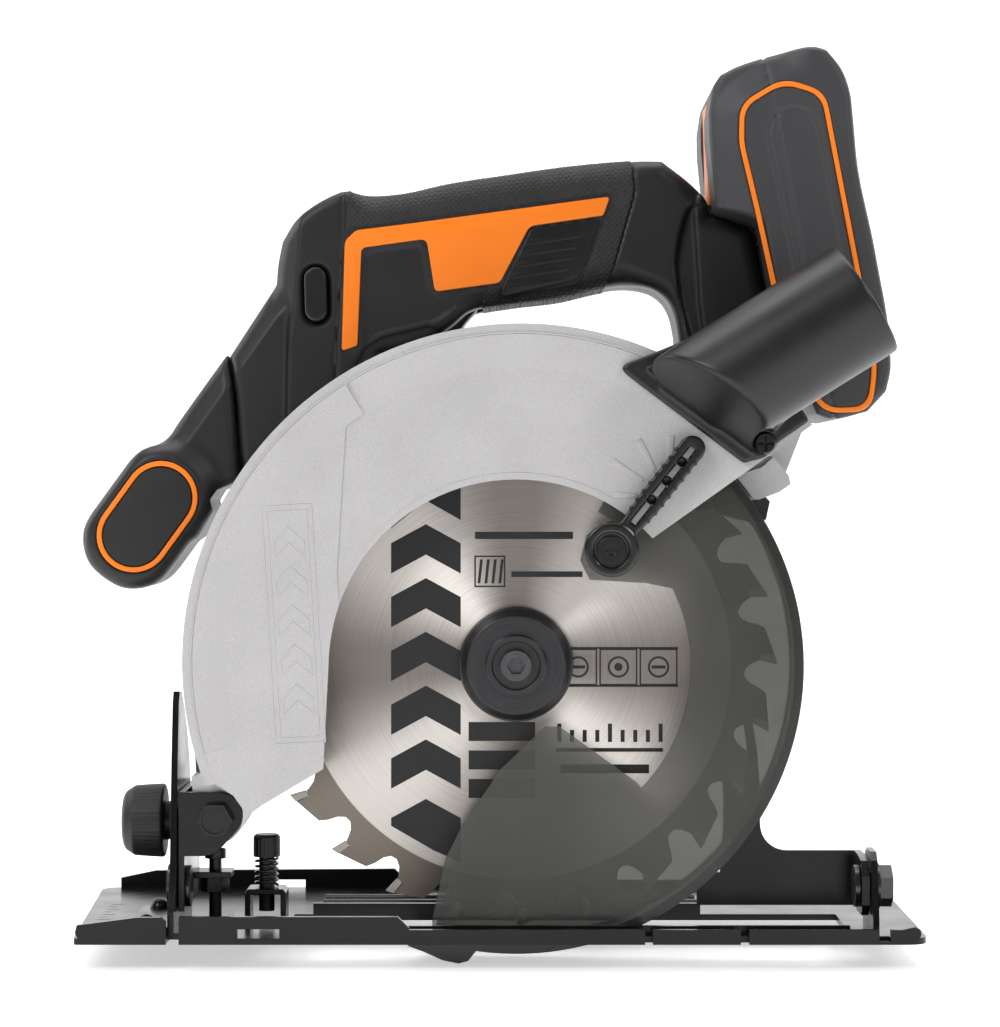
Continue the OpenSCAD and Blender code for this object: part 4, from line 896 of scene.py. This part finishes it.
def arm_up(X, Z):
    """Distance outside the arm's upper edge line, negative inside."""
    return (Z - 160.2 - (X + 111.3) * 1.405) / 1.725


ARM_W = 16.4


def arm_bevel(X, Z):
    return np.clip((arm_up(X, Z) + 6.8) * 0.62, 0, 4.6)


def handle_field(g, sleeve=False):
    X, Z = g.X2, g.Z2
    d = smax(sdf_poly(h_out, X, Z), -sdf_poly(h_loop, X, Z), 1.5)
    w = np.full(X.shape, HW, np.float32)
    # front column: set back behind a parting line, chamfered to the front
    px = -55.6 - (234 - Z) * 0.055
    col = step(0.35, -0.35, X - px)
    w -= 0.7 * col * step(150, 160, Z)
    ch = -69.6 - (226.7 - Z) * 0.077
    w -= np.clip((ch - X) * 0.85, 0, 6.5) * step(186, 200, Z + 0 * X)
    # arm towards the front grip, one level lower, its upper edge bevelled
    a = step(-73.6, -75.0, X - 0.02 * (Z - 170)) * step(206, 196, Z)
    w = w * (1 - a) + (ARM_W - arm_bevel(X, Z)) * a
    # rear: hollow beside the foot of the battery, then the foot's own face
    rear = np.array([(55.5, 231), (54.0, 227), (52.4, 221), (51.5, 213.4), (52.6, 203), (55.5, 190.8), (59, 180), (100, 176), (100, 240), (63, 232), (58.5, 233)], np.float32)
    sr = sdf_poly(rear, X, Z)
    w -= 2.6 * step(0.9, -1.6, sr)
    foot = np.array([(59.2, 236), (57.6, 229), (59.4, 200), (62.5, 176), (120, 170), (120, 240)], np.float32)
    sf_ = sdf_poly(foot, X, Z)
    w += 1.3 * step(0.5, -0.5, sf_)
    # smooth panel under the inlay
    sp = sdf_poly(panel, X, Z)
    w -= 0.55 * step(0.45, -0.45, sp)
    # lower cheek over the trigger, again a little back
    ck = sdf_poly([(-49, 186), (-44, 189.2), (-28, 193.2), (-20, 190), (-20, 150), (-52, 150), (-52, 180)], X, Z)
    w -= 0.9 * step(0.4, -0.4, ck)
    # seat of the lock-off button and fine joint lines
    pill = seg_dist([(-64.5, 198), (-64.8, 208.5)], X, Z)
    w -= 0.8 * step(5.1, 4.3, pill)
    if not sleeve:
        for ln, wd, dp in (([(-55.6, 240), (-55.7, 226), (-56.9, 210), (-58.8, 176), (-60, 150)], 0.42, 0.8),
                           ([(-93.6, 184), (-91.9, 178), (-91.3, 172.7), (-89.0, 147.3), (-88.0, 141)], 0.42, 0.8),
                           ([(36.8, 249), (38.1, 237), (37.5, 233.8), (31.0, 211.2), (28.7, 205.3), (26.5, 200)], 0.42, 0.8)):
            w -= dp * step(wd + 0.3, wd - 0.25, seg_dist(ln, X, Z))
        si = np.abs(sdf_poly(inlay, X, Z) - 0.35)
        w -= 0.5 * step(0.55, 0.1, si)
        sb = np.abs(sdf_poly(badge, X, Z) - 0.3)
        w -= 0.4 * step(0.5, 0.1, sb)
    grip = step(-56, -48, X) * step(46, 34, X) * step(196, 203, Z)
    r = 3.2 + 4.8 * grip + 2.0 * step(38, 46, X) * step(186, 200, Z)
    r = r[:, None, :]
    D = g.flat(d)
    Wd = np.abs(g.Y - HY) - g.flat(w)
    return rounded(D, Wd, r), D


def handle_cuts(F, g):
    X, Y, Z = g.X, g.Y, g.Z
    F = np.maximum(F, MR + 0.15 - np.sqrt((X - MOT[0]) ** 2 + (Z - MOT[1]) ** 2))
    F = np.maximum(F, 24.1 - np.sqrt(X**2 + (Z - 85) ** 2))
    # spindle lock bore
    ax, az = -math.sin(math.radians(60)), math.cos(math.radians(60))
    t = X * ax + (Z - 85) * az
    q = np.sqrt(np.maximum(X**2 + (Z - 85) ** 2 - t**2, 0) + (Y - 27.7) ** 2)
    F = np.maximum(F, -np.maximum(q - 6.4, 20 - t))
    # trigger slot and lock-off bore
    F = np.maximum(F, -np.maximum(np.maximum(np.abs(X + 26.5) - 15.5, np.abs(Y - 40) - 7), np.maximum(183 - Z, Z - 206)))
    pill = g.flat(seg_dist([(-64.5, 198), (-64.8, 208.5)], g.X2, g.Z2))
    F = np.maximum(F, 3.9 - pill + 0 * Y)
    return F


def handle_half(name, far):
    g = Grid((-99, 39.5 if far else 17.5, 93), (88, 62.5 if far else 40.5, 250), 0.68)
    F, D = handle_field(g)
    tongue = g.poly([(-97, 174.5), (-86.9, 171.5), (-86.9, 163.7), (-96, 158)])
    inner = np.maximum(F + 2.6, (g.Y * 0 + MR + 3 - np.sqrt((g.X - MOT[0]) ** 2 + (g.Z - MOT[1]) ** 2)))
    F = handle_cuts(F, g)
    F = np.maximum(F, -np.maximum(tongue, np.abs(g.Y - 40) - 11.1))
    F = np.maximum(F, -inner)
    F = np.maximum(F, (40.0 - g.Y) if far else (g.Y - 40.0))
    if far:
        for sx, sz in ((-84, 160), (-66, 228), (-60, 128), (-20, 158), (26, 241), (56, 222), (66, 164), (68, 200)):
            q = np.sqrt((g.X - sx) ** 2 + (g.Z - sz) ** 2) + 0 * g.Y
            F = np.minimum(F, np.maximum(np.maximum(q - 4.6, g.Y - 57.8), 44 - g.Y) + 0.0) if False else F
            F = np.maximum(F, -np.maximum(q - 3.1, 54 - g.Y))
    return solid(name, F, g, BODY["handle_shell_near"], M["black_plastic"], (name[:-2],), 2, 50)


handle_half("handle_shell_near_v", False)
handle_half("handle_shell_far_v", True)

# rubber sleeve that wraps the grip, with rows of small pyramids
g = Grid((-56, 18.2, 196), (40, 61.8, 250.5), 0.46)
F, D = handle_field(g, True)
rb = g.poly(rubber)
u = (g.X2 + g.Z2 * 0.14) / 1.28
v = (g.Z2 - g.X2 * 0.14) / 1.28


def tri(t):
    return np.abs((t - np.floor(t)) * 2 - 1)


flat = g.flat(np.minimum(tri(u), tri(v)))
face = step(12.0, 17.0, np.abs(g.Y - HY)) + 0 * g.X
along = tri((g.Y - HY) / 1.28 + 0 * g.X)
top = g.flat(tri(u)) * (1 - face) * 1.0
hgt = 0.15 + 0.42 * (flat * face + np.minimum(top, along * (1 - face) + face) * (1 - face))
S = np.maximum(F - hgt, -(F + 1.0))
S = np.maximum(S, rb + 0 * g.Y)
slot_ = -np.maximum(np.maximum(np.abs(g.X + 26.5) - 16, np.abs(g.Y - 40) - 8.5), g.Z - 207)
S = np.maximum(S, slot_)
solid("grip_sleeve_v", S, g, BODY["grip_sleeve"], M["rubber"], ("grip_sleeve",), 0, 50)

# inlays and badge panels, both sides
for tag, y0, y1 in (("near", 20.5, 21.6), ("far", 58.4, 59.5)):
    yf = (y0, y1)
    plate("side_inlay_" + tag, [inlay], y0, y1, BODY["side_inlays"], M["orange"], 0.32, 3, replaces=("side_inlays",))
    plate("badge_panel_" + tag, [badge], y0 + (0.0 if tag == "near" else 0.0), y1, BODY["badge_panels"], M["badge"], 0.28, 3, replaces=("badge_panels",))
    # ribs on the badge in place of lettering
    for k in range(5):
        b0 = (1.6 + k * 0.0, 221.0 - k * 3.6)
        x0 = 3.4 - k * 1.45
        x1 = 21.6 - k * 1.35
        z0 = 220.6 - k * 3.55
        o = [(x0, z0), (x1, z0 + 2.6), (x1 - 0.55, z0 + 0.9), (x0 - 0.75, z0 - 1.75)]
        ya = 20.38 if tag == "near" else 59.3
        plate("badge_rib_%s_%d" % (tag, k), [o], ya, ya + 0.32, BODY["badge_panels"], M["smooth_plastic"], 0.12, 2)

# front grip
KC, KA = (-119.0, 131.5), -36.0


def knob_local(X, Z):
    c, s_ = math.cos(math.radians(-KA)), math.sin(math.radians(-KA))
    dx, dz = X - KC[0], Z - KC[1]
    return dx * c - dz * s_, dx * s_ + dz * c


g = Grid((-144, 18, 104), (-84, 62, 188), 0.62)
lx, lz = knob_local(g.X2, g.Z2)
qx, qz = np.abs(lx), np.maximum(np.abs(lz) - 9, 0)
d = np.sqrt(qx**2 + qz**2) - 16.2
bx = np.maximum(np.abs(lx) - 16.2 + 6, 0)
rx = np.abs(lx) - 10.2
rz = np.abs(lz) - 19.2
boxd = np.minimum(np.maximum(rx, rz), 0) + np.sqrt(np.maximum(rx, 0) ** 2 + np.maximum(rz, 0) ** 2) - 6.0
d = smax(d, boxd, 2.0)
ring_d = np.sqrt(np.maximum(np.abs(lx), 0) ** 2 + np.maximum(np.abs(lz) - 7.5, 0) ** 2) - 12.1
w = 20.0 - np.clip(ring_d * 0.28, 0, 2.2)
w -= 1.15 * step(0.25, -0.35, np.abs(ring_d + 0.95) - 0.95)
K = rounded(g.flat(d), np.abs(g.Y - HY) - g.flat(w), 4.2)
arm = spline([(-93.9, 184.6), (-111.3, 160.2), (-116, 150), (-110, 134), (-104, 126), (-99, 136.8), (-96.8, 140.1), (-88.4, 143.5), (-89.4, 147.5), (-91.7, 172.5)], 5, 30)
da = sdf_poly(arm, g.X2, g.Z2)
wa = ARM_W - arm_bevel(g.X2, g.Z2)
A = rounded(g.flat(da), np.abs(g.Y - HY) - g.flat(wa), 3.2)
F = smin(K, A, 5.0)
F = np.maximum(F, g.flat(np.minimum(sdf_poly(spline([(-93.9, 184.6), (-111.3, 160.2), (-116.5, 157), (-146, 170), (-146, 100), (-90, 100), (-99, 136.8), (-96.8, 140.1), (-88.4, 143.5), (-89.4, 147.5), (-91.7, 172.5)], 4, 20), g.X2, g.Z2), 50)))
T = np.maximum(g.poly([(-94, 173), (-87.2, 171), (-87.2, 164.2), (-93, 160)]), np.abs(g.Y - 40) - 10.9)
F = np.minimum(F, T)
solid("front_grip_v", F, g, BODY["front_grip"], M["black_plastic"], ("front_grip",), 2, 50)


def oval(a, b, n=24):
    pts = [(a * math.cos(math.radians(t)), b + a * math.sin(math.radians(t))) for t in np.linspace(0, 180, n)]
    pts += [(a * math.cos(math.radians(t)), -b + a * math.sin(math.radians(t))) for t in np.linspace(180, 360, n)]
    return [(KC[0] + x * math.cos(math.radians(KA)) - z * math.sin(math.radians(KA)), KC[1] + x * math.sin(math.radians(KA)) + z * math.cos(math.radians(KA))) for x, z in pts]


for tag, r0, r1, p0, p1 in (("near", 19.55, 21.0, 19.62, 20.6), ("far", 59.0, 60.45, 59.4, 60.38)):
    plate("grip_ring_" + tag, [oval(11.9, 7.5), oval(10.25, 7.5)], r0, r1, BODY["front_grip_rings"], M["orange"], 0.35, 3, replaces=("front_grip_rings",))
    plate("grip_pad_" + tag, [oval(9.9, 7.5)], p0, p1, BODY["front_grip_pads"], M["pad"], 0.35, 3, replaces=("front_grip_pads",))

# trigger
g = Grid((-43, 32.5, 176), (-10, 47.5, 204), 0.45)
tr = spline([(-40, 202), (-41, 190), (-40.5, 181.5), (-37, 178.6), (-31, 179.8), (-25, 183.6), (-20.5, 189), (-16.2, 195), (-12.6, 199.6), (-12.6, 200.4), (-33, 200.4), (-34, 202)], 5, 40)
F = rounded(g.poly(tr), np.abs(g.Y - 40) - 6.3, 2.2)
F = np.maximum(F, 1.55 - np.sqrt((g.X + 37) ** 2 + (g.Z - 198.5) ** 2) + 0 * g.Y)
solid("trigger_v", F, g, BODY["trigger"], M["smooth_plastic"], ("trigger",), 2, 50)

# lock-off button through both sides
g = Grid((-70, 18, 193), (-59.5, 62, 214), 0.38)
pl = g.flat(seg_dist([(-64.5, 198), (-64.8, 208.5)], g.X2, g.Z2)) - 3.6
F = rounded(pl, np.abs(g.Y - 40) - 20.55, 0.9)
solid("lock_off_button_v", F, g, BODY["lock_off_button"], M["smooth_plastic"], ("lock_off_button",), 2, 50)

# ---------------------------------------------------------------- dust port
g = Grid((28, -54.5, 143), (126, -14.2, 219), 0.56)
X, Y, Z = g.X, g.Y, g.Z
ca, sa = math.cos(math.radians(32)), math.sin(math.radians(32))
t = -((X - 106.5) * ca + (Z - 198.5) * sa)
side = -(X - 106.5) * sa + (Z - 198.5) * ca
rad = np.sqrt(side**2 + (Y + 33.8) ** 2)
cut = (X - 37.8) * 0.578 + (Z - 176.1) * 0.816
plane = 0.33 * (-18.5 - Y) - cut + 0.4
tube = smax(rad - 18.5, -t, 1.0)
throat = np.maximum(g.poly([(41, 177.5), (56, 185.6), (86, 166.5), (73.5, 150.8)]), np.maximum(-33.8 - Y, Y + 15.4))
body = smax(smin(np.maximum(tube, t - 72), throat, 1.0), plane * 0.93, 1.6)
fl = fillet([(31.2, 178.3), (38.4, 172.7), (57, 158.7), (70.6, 148.4), (77.4, 150.2), (81.6, 155.0), (91.2, 161.6), (87.6, 167.0), (53.6, 187.2), (44.6, 183.5)], [2.6, 10, 20, 2.0, 3.0, 3.0, 1.2, 2, 2.5, 6])
flange = rounded(g.poly(fl), np.abs(Y + 16.7) - 1.3, 0.9)
F = smin(body, flange, 1.3)
F = np.maximum(F, Y + 15.4)
bore = np.maximum(rad - 16.5, t - 34) 
bore = np.minimum(bore, np.maximum(rad - 16.5 - np.maximum(0.9 - t, 0), np.maximum(-t - 3, t - 0.9)))
F = np.maximum(F, -bore)
inner = np.maximum(np.maximum(rad - 15.9, t - 80), plane + 2.6)
F = np.maximum(F, -np.maximum(inner, 30 - t))
mouth = np.maximum(g.poly([(47, 175.5), (55, 180), (78.5, 165), (76.5, 161), (71, 156.5)]), np.maximum(-33.8 - Y, plane + 2.6))
F = np.maximum(F, -mouth)
hole = np.sqrt((X - 77.2) ** 2 + (Z - 154.6) ** 2) + 0 * Y
F = np.maximum(F, 2.1 - hole)
F = np.maximum(F, -np.maximum(hole - 4.3, Y + 18.0))
boss = np.maximum(np.abs(hole - 4.9) - 0.6, np.maximum(-19.4 - Y, Y + 17.5))
solid("dust_port_v", F, g, BODY["dust_port"], M["port_plastic"], ("dust_port",), 2, 50)

# ---------------------------------------------------------------- battery
bat_o = spline([(62.4, 267.6), (65.0, 272.2), (70.5, 275), (83, 278.8), (94.6, 280.9), (98.6, 279.8), (103.4, 273.6), (106.0, 266.5), (107.0, 258), (108.6, 242), (114, 216), (119, 179.5), (117.5, 171.5), (111.5, 165), (100, 162.6), (95.4, 164),
                (84.2, 192), (81.1, 206), (77.9, 224.4), (75.6, 226.1), (63.7, 229.4)], 5, 32)
ring_o = fillet([(70.6, 250.0), (70.9, 262.4), (84.5, 270.6), (98.0, 266.4), (114.6, 180.0), (112.6, 165.0), (96.8, 164.4), (84.4, 189.2), (80.6, 206), (75.6, 229)], [24, 9, 12, 9, 40, 7, 9, 30, 60, 40], 7)
ring_i = fillet([(72.2, 250.0), (72.4, 261.5), (84.6, 268.9), (96.7, 265.2), (113.0, 180.0), (111.2, 166.6), (97.7, 166.0), (86.0, 189.8), (82.2, 206.4), (77.2, 229)], [24, 8, 11, 8, 40, 6, 8, 30, 60, 40], 7)
g = Grid((60, 0.8, 160), (121, 79.2, 283), 0.72)
X, Y, Z = g.X, g.Y, g.Z
d = sdf_poly(bat_o, g.X2, g.Z2)
ro = sdf_poly(ring_o, g.X2, g.Z2)
w = 38.0 - np.clip((ro - 0.2) * 0.42, 0, 3.4) * step(100, 88, g.X2 + (g.Z2 - 220) * 0.1)
c_ = seg_dist([(88, 253), (101, 190)], g.X2, g.Z2)
w -= 0.5 * step(0.5, -0.2, np.abs(c_ - 8.0) - 0.45)
w -= 0.55 * step(0.45, -0.15, np.abs(ro + 0.75) - 0.7)
F = rounded(g.flat(d), np.abs(Y - HY) - g.flat(w), 2.4)
c11, s11 = math.cos(math.radians(11)), math.sin(math.radians(11))
bl = (X - 80.5) * c11 + (Z - 206) * s11
bu = -(X - 80.5) * s11 + (Z - 206) * c11


def lbox(v0, v1, y0, y1, u0, u1):
    return np.maximum(np.maximum(np.maximum(v0 - bl, bl - v1), np.maximum(u0 - bu, bu - u1)), np.maximum(y0 - Y, Y - y1))


F = np.maximum(F, -np.maximum(F + 2.6, -lbox(-2, 9, HY - 18, HY + 18, -60, 24)))
F = np.maximum(F, -lbox(-3, 3.7, HY - 12.3, HY + 12.3, -70, 13.4))
F = np.maximum(F, -lbox(2.9, 6.4, HY - 15.3, HY + 15.3, -70, 13.4))
for yy in (-9, -3, 3, 9):
    F = np.maximum(F, -lbox(1.2, 5, HY + yy - 0.9, HY + yy + 0.9, 12, 22))
pk = sdf_poly([(-20, 28.6), (-20, 63.4), (0, 63.4), (-5.4, 28.6)], (g.X2 - 80.5) * c11 + (g.Z2 - 206) * s11, -(g.X2 - 80.5) * s11 + (g.Z2 - 206) * c11)
F = np.maximum(F, -np.maximum(g.flat(pk), np.abs(Y - HY) - 9.3))
# seam round the lid
F = np.maximum(F, -np.maximum(np.abs((bl - 12.0) - 0 * bu) - 0.35, -(F + 0.55)))
solid("battery_case_v", F, g, BODY["battery_case"], M["battery"], ("battery_case",), 2, 50)
for tag, y0, y1 in (("near", 1.4, 2.5), ("far", 77.5, 78.6)):
    plate("battery_ring_" + tag, [ring_o, ring_i], y0, y1, BODY["battery_rings"], M["orange"], 0.34, 3, replaces=("battery_rings",))

# ---------------------------------------------------------------- knob and lever
KY, KZ = 27.3 * math.cos(math.radians(43)), 15 + 27.3 * math.sin(math.radians(43))
g = Grid((-128, KY - 13.2, KZ - 13.2), (-107.5, KY + 13.2, KZ + 13.2), 0.36)
X, Y, Z = g.X, g.Y, g.Z
rr = np.sqrt((Y - KY) ** 2 + (Z - KZ) ** 2)
th = np.arctan2(Z - KZ, Y - KY)
lob = np.abs(((th * 12 / (2 * np.pi)) % 1.0) - 0.5)
rk = np.interp(g.x, [-126.6, -125.4, -122.7, -118.0, -112.9], [7.9, 9.5, 11.25, 11.6, 11.85])[:, None, None]
grv = 0.12 * np.clip(np.cos(th * 48), 0, 1) * step(-123.5, -121.5, X)
F = rounded((rr - rk + grv), np.abs(X + 119.7) - 6.75, 1.0)
F = smin(F, rounded(rr - 6.2 + 0 * X, np.abs(X + 111.0) - 2.0, 0.4), 0.5)
F = np.maximum(F, -rounded(rr - 5.2 + 0 * X, np.abs(X + 127.3) - 1.2, 0.3))
F = np.maximum(F, 3.05 - rr + np.where(X > -122.5, 0, -50))
solid("bevel_knob_v", F, g, BODY["bevel_knob"], M["knob_plastic"], ("bevel_knob",), 1, 45)

g = Grid((19, -22.8, 111), (63, -9.6, 160), 0.34)
X, Y, Z = g.X, g.Y, g.Z
ca, sa = math.cos(math.radians(51.5)), math.sin(math.radians(51.5))
la = (g.X2 - LEV[0]) * ca + (g.Z2 - LEV[1]) * sa
lb = -(g.X2 - LEV[0]) * sa + (g.Z2 - LEV[1]) * ca
rb_ = np.sqrt(la**2 + lb**2)
serr = 0.5 * np.maximum(0, np.cos((la - 14.0) * 2 * np.pi / 3.3)) ** 2 * step(11, 14, la) * step(41, 38, la)
half = 3.3 + 0.55 * step(9, 20, la)
bar = smax(np.abs(lb) - half - serr, np.maximum(la - 40.0, -la), 0.6)
tip = np.sqrt((la - 40.2) ** 2 + lb**2) - 4.0
arm2 = smin(bar, tip, 1.0)
ch = np.maximum(np.abs(lb) - 1.35, np.maximum(10.0 - la, la - 41.0))
ribs = 9.0 + 0 * la
lev_a = rounded(g.flat(arm2), np.maximum(-21.5 - Y, Y + 16.4), 0.7)
lev_a = np.maximum(lev_a, -np.maximum(g.flat(ch), Y + 20.2))
for q in (20.0, 27.5, 35.0):
    lev_a = np.maximum(lev_a, -(np.maximum(g.flat(np.sqrt((la - q) ** 2 + lb**2) - 1.3), Y + 17.4)))
boss = rounded(g.flat(rb_ - 8.5), np.maximum(-22 - Y, Y + 16.4), 0.9)
F = smin(lev_a, boss, 0.6)
F = np.minimum(F, np.maximum(g.flat(rb_ - 6.0), np.maximum(-17 - Y, Y + 10.5)))
F = np.maximum(F, -rounded(g.flat(rb_ - 5.7), np.maximum(-24 - Y, Y + 20.4), 0.3))
F = np.maximum(F, g.flat(2.05 - rb_) + 0 * Y)
solid("guard_lever_v", F, g, BODY["guard_lever"], M["lever"], ("guard_lever",), 1, 45)
for i, (q0, q1) in enumerate(((10.6, 18.4), (21.6, 25.9), (29.1, 33.4), (36.6, 40.4))):
    plate("lever_strip_%d" % i, [[(LEV[0] + u * ca - v * sa, LEV[1] + u * sa + v * ca) for u, v in ((q0, -0.95), (q1, -0.95), (q1, 0.95), (q0, 0.95))]], -20.75, -20.1, BODY["guard_lever"], M["lever_clear"], 0.2, 2)

# ---------------------------------------------------------------- motor housing, blade, lower guard
hardware("motor_housing", "black_plastic", 0.7, 3, "black_plastic")
hardware("blade_plate", "blade", 0.08, 1, "blade_steel", smooth_angle=25.0)
hardware("lower_guard", "smoke", 0.45, 3, "smoke_plastic")


# ---------------------------------------------------------------- blade printing
BB = BODY["blade_plate"]


def ink(name, loops):
    return plate(name, loops, -0.585, -0.545, BB, M["ink"], 0.0, 0)


def clip_r(pts, r=67.0):
    out = []
    for x, z in pts:
        q = math.hypot(x, z - 85)
        out.append((x, z) if q < r else (x * r / q, 85 + (z - 85) * r / q))
    return out


def bar(x0, z0, x1, z1):
    n = 14
    p = [(x0 + (x1 - x0) * i / n, z0) for i in range(n)] + [(x1, z0 + (z1 - z0) * i / n) for i in range(n)]
    p += [(x1 - (x1 - x0) * i / n, z1) for i in range(n)] + [(x0, z1 - (z1 - z0) * i / n) for i in range(n)]
    return p


def chevron(cx, cz, w, t, h):
    return [(cx - w / 2, cz - h / 2 - t / 2), (cx, cz + h / 2 - t / 2), (cx + w / 2, cz - h / 2 - t / 2), (cx + w / 2, cz - h / 2 + t / 2), (cx, cz + h / 2 + t / 2), (cx - w / 2, cz - h / 2 + t / 2)]


# tall stack of broad chevrons left of the hub
ink("print_top", [clip_r([(-39.5, 128.0), (-28.5, 136.8), (-17.5, 130.6), (-17.5, 141.6), (-39.5, 135.6)], 67)])
for i in range(5):
    ink("print_chevron_%d" % i, [clip_r(chevron(-28.5, 121.5 - i * 17.0, 22.0, 9.6, 6.0), 67.2)])
ink("print_foot", [clip_r([(-39.5, 36.5), (-28.5, 42.5), (-17.5, 36.5), (-17.5, 22.5), (-26.0, 26.2), (-39.5, 34.0)], 67.2)])
# ruled lines and outline boxes right of the hub
for i, (x0, z0, x1, z1) in enumerate(((-13.0, 124.6, 18.0, 126.9), (-1.5, 112.6, 21.0, 114.4), (13.5, 77.9, 51.2, 78.5), (13.5, 89.9, 51.2, 90.5))):
    ink("print_rule_%d" % i, [bar(x0, z0, x1, z1)])


def box_line(name, x0, z0, x1, z1, t=0.5):
    ink(name, [[(x0, z0), (x1, z0), (x1, z1), (x0, z1)], [(x0 + t, z0 + t), (x1 - t, z0 + t), (x1 - t, z1 - t), (x0 + t, z1 - t)]])


box_line("print_box_0", -13.2, 109.4, -3.4, 119.4)
for i in range(4):
    x = -12.2 + i * 2.2
    ink("print_hatch_%d" % i, [[(x, 110.6), (x + 0.9, 110.6), (x + 1.7, 118.2), (x + 0.8, 118.2)]])
for k in range(3):
    x0 = 13.6 + k * 12.7
    box_line("print_box_%d" % (k + 1), x0, 78.4, x0 + 12.0, 90.0)
    c = (x0 + 6.0, 84.2)
    ink("print_dot_%d" % k, [circle(c, 3.4, 36), circle(c, 2.7, 36)])
    ink("print_mark_%d" % k, [[(c[0] - 2.2, c[1] - 0.5), (c[0] + 2.2, c[1] - 0.5), (c[0] + 2.2, c[1] + 0.5), (c[0] - 2.2, c[1] + 0.5)]] if k != 1 else [circle(c, 1.3, 24)])
for i in range(9):
    h = 5.8 if i % 4 == 0 else 3.8
    x = 13.0 + i * 4.0
    ink("print_tick_%d" % i, [[(x, 60.5), (x + 1.3, 60.5), (x + 1.3, 60.5 + h), (x, 60.5 + h)]])
ink("print_bar_0", [bar(12.6, 57.4, 46.4, 58.6)])
ink("print_bar_1", [bar(14.0, 50.6, 42.0, 53.4)])
# two broad figures' worth of solid blocks at the lower left, as plain stripes
for i in range(3):
    z = 66.8 - i * 9.0
    ink("print_block_%d" % i, [clip_r([(-15.0, z - 6.0), (6.0, z - 6.0), (6.0, z - 0.0), (-15.0, z - 0.0)], 67)])


# ---------------------------------------------------------------- stage, light and camera
def stage_mat(name, c, e):
    m, nt, b = new_mat(name)
    n = noise_at(nt, 3.0, 2.0)
    nt.links.new(colour_between(nt, n, shade(c, 0.995), shade(c, 1.005)), b.inputs["Base Color"])
    b.inputs["Roughness"].default_value = 0.7
    b.inputs["Specular IOR Level"].default_value = 0.1
    b.inputs["Emission Color"].default_value = (1, 1, 1, 1)
    b.inputs["Emission Strength"].default_value = e
    return m


sw = []
for i in range(25):
    t = i / 24
    if t < 0.5:
        sw.append((-3.0 + t * 2 * 4.2, 0.0))
    elif t < 0.85:
        a = (t - 0.5) / 0.35 * math.pi / 2
        sw.append((1.2 + 0.8 * math.sin(a), 0.8 - 0.8 * math.cos(a)))
    else:
        sw.append((2.0, 0.8 + (t - 0.85) / 0.15 * 3.0))
zmin = min(b[2] for b in cad_bounds)
sv = [(x, y, z + zmin - 0.0002) for y, z in sw for x in (-4.0, 4.0)]
sf = [(2 * i, 2 * i + 1, 2 * i + 3, 2 * i + 2) for i in range(len(sw) - 1)]
sm = bpy.data.meshes.new("sweep")
sm.from_pydata(sv, [], sf)
sm.update()
sm.materials.append(stage_mat("sweep_paint", (0.90, 0.90, 0.90), 0.52))
sm.polygons.foreach_set("use_smooth", [True] * len(sm.polygons))
so = bpy.data.objects.new("sweep", sm)
bpy.context.scene.collection.objects.link(so)

world = bpy.data.worlds.new("studio")
bpy.context.scene.world = world
world.use_nodes = True
wb = world.node_tree.nodes["Background"]
wb.inputs["Color"].default_value = (1.0, 1.0, 1.0, 1)
wb.inputs["Strength"].default_value = 0.11


def area(name, loc, target, sx, sy, power, col=(1, 1, 1)):
    L = bpy.data.lights.new(name, "AREA")
    L.shape = "RECTANGLE"
    L.size, L.size_y = sx, sy
    L.energy = power
    L.color = col
    o = bpy.data.objects.new(name, L)
    bpy.context.scene.collection.objects.link(o)
    o.location = loc
    o.rotation_mode = "QUATERNION"
    o.rotation_quaternion = (Vector(target) - Vector(loc)).to_track_quat("-Z", "Y")
    return o


area("key", (-0.80, -1.00, 0.98), (0, 0, 0.12), 0.62, 0.62, 9.5)
area("fill", (0.95, -1.00, 0.92), (0, 0, 0.12), 0.5, 0.5, 5.5)
area("top", (0.0, 0.15, 1.3), (0, 0, 0.1), 1.3, 0.8, 8)
area("rim_left", (-1.2, 0.45, 0.45), (0, 0, 0.14), 0.4, 1.0, 5)
area("rim_right", (1.2, 0.5, 0.55), (0, 0, 0.16), 0.4, 1.0, 5)
area("back", (0.0, 0.2, 1.9), (0.0, 1.9, 0.6), 2.2, 0.6, 14)

cam = bpy.data.cameras.new("cam")
cam.sensor_width = 36.0
cam.sensor_fit = "AUTO"
cam.lens = 3059.0 / 1027.0 * 36.0
cam.shift_x = -12.0 / 1027.0
cam.shift_y = -23.5 / 1027.0
cam.clip_start, cam.clip_end = 0.01, 20.0
co = bpy.data.objects.new("cam", cam)
bpy.context.scene.collection.objects.link(co)
co.location = ((-1.3 + OX) / 1000, (-967 + OY) / 1000, 0.1401)
co.rotation_euler = (math.pi / 2, 0, 0)
bpy.context.scene.camera = co
sc = bpy.context.scene
sc.view_settings.view_transform = "Standard"
sc.view_settings.look = "None"
sc.view_settings.exposure = 0.0
sc.view_settings.gamma = 1.0
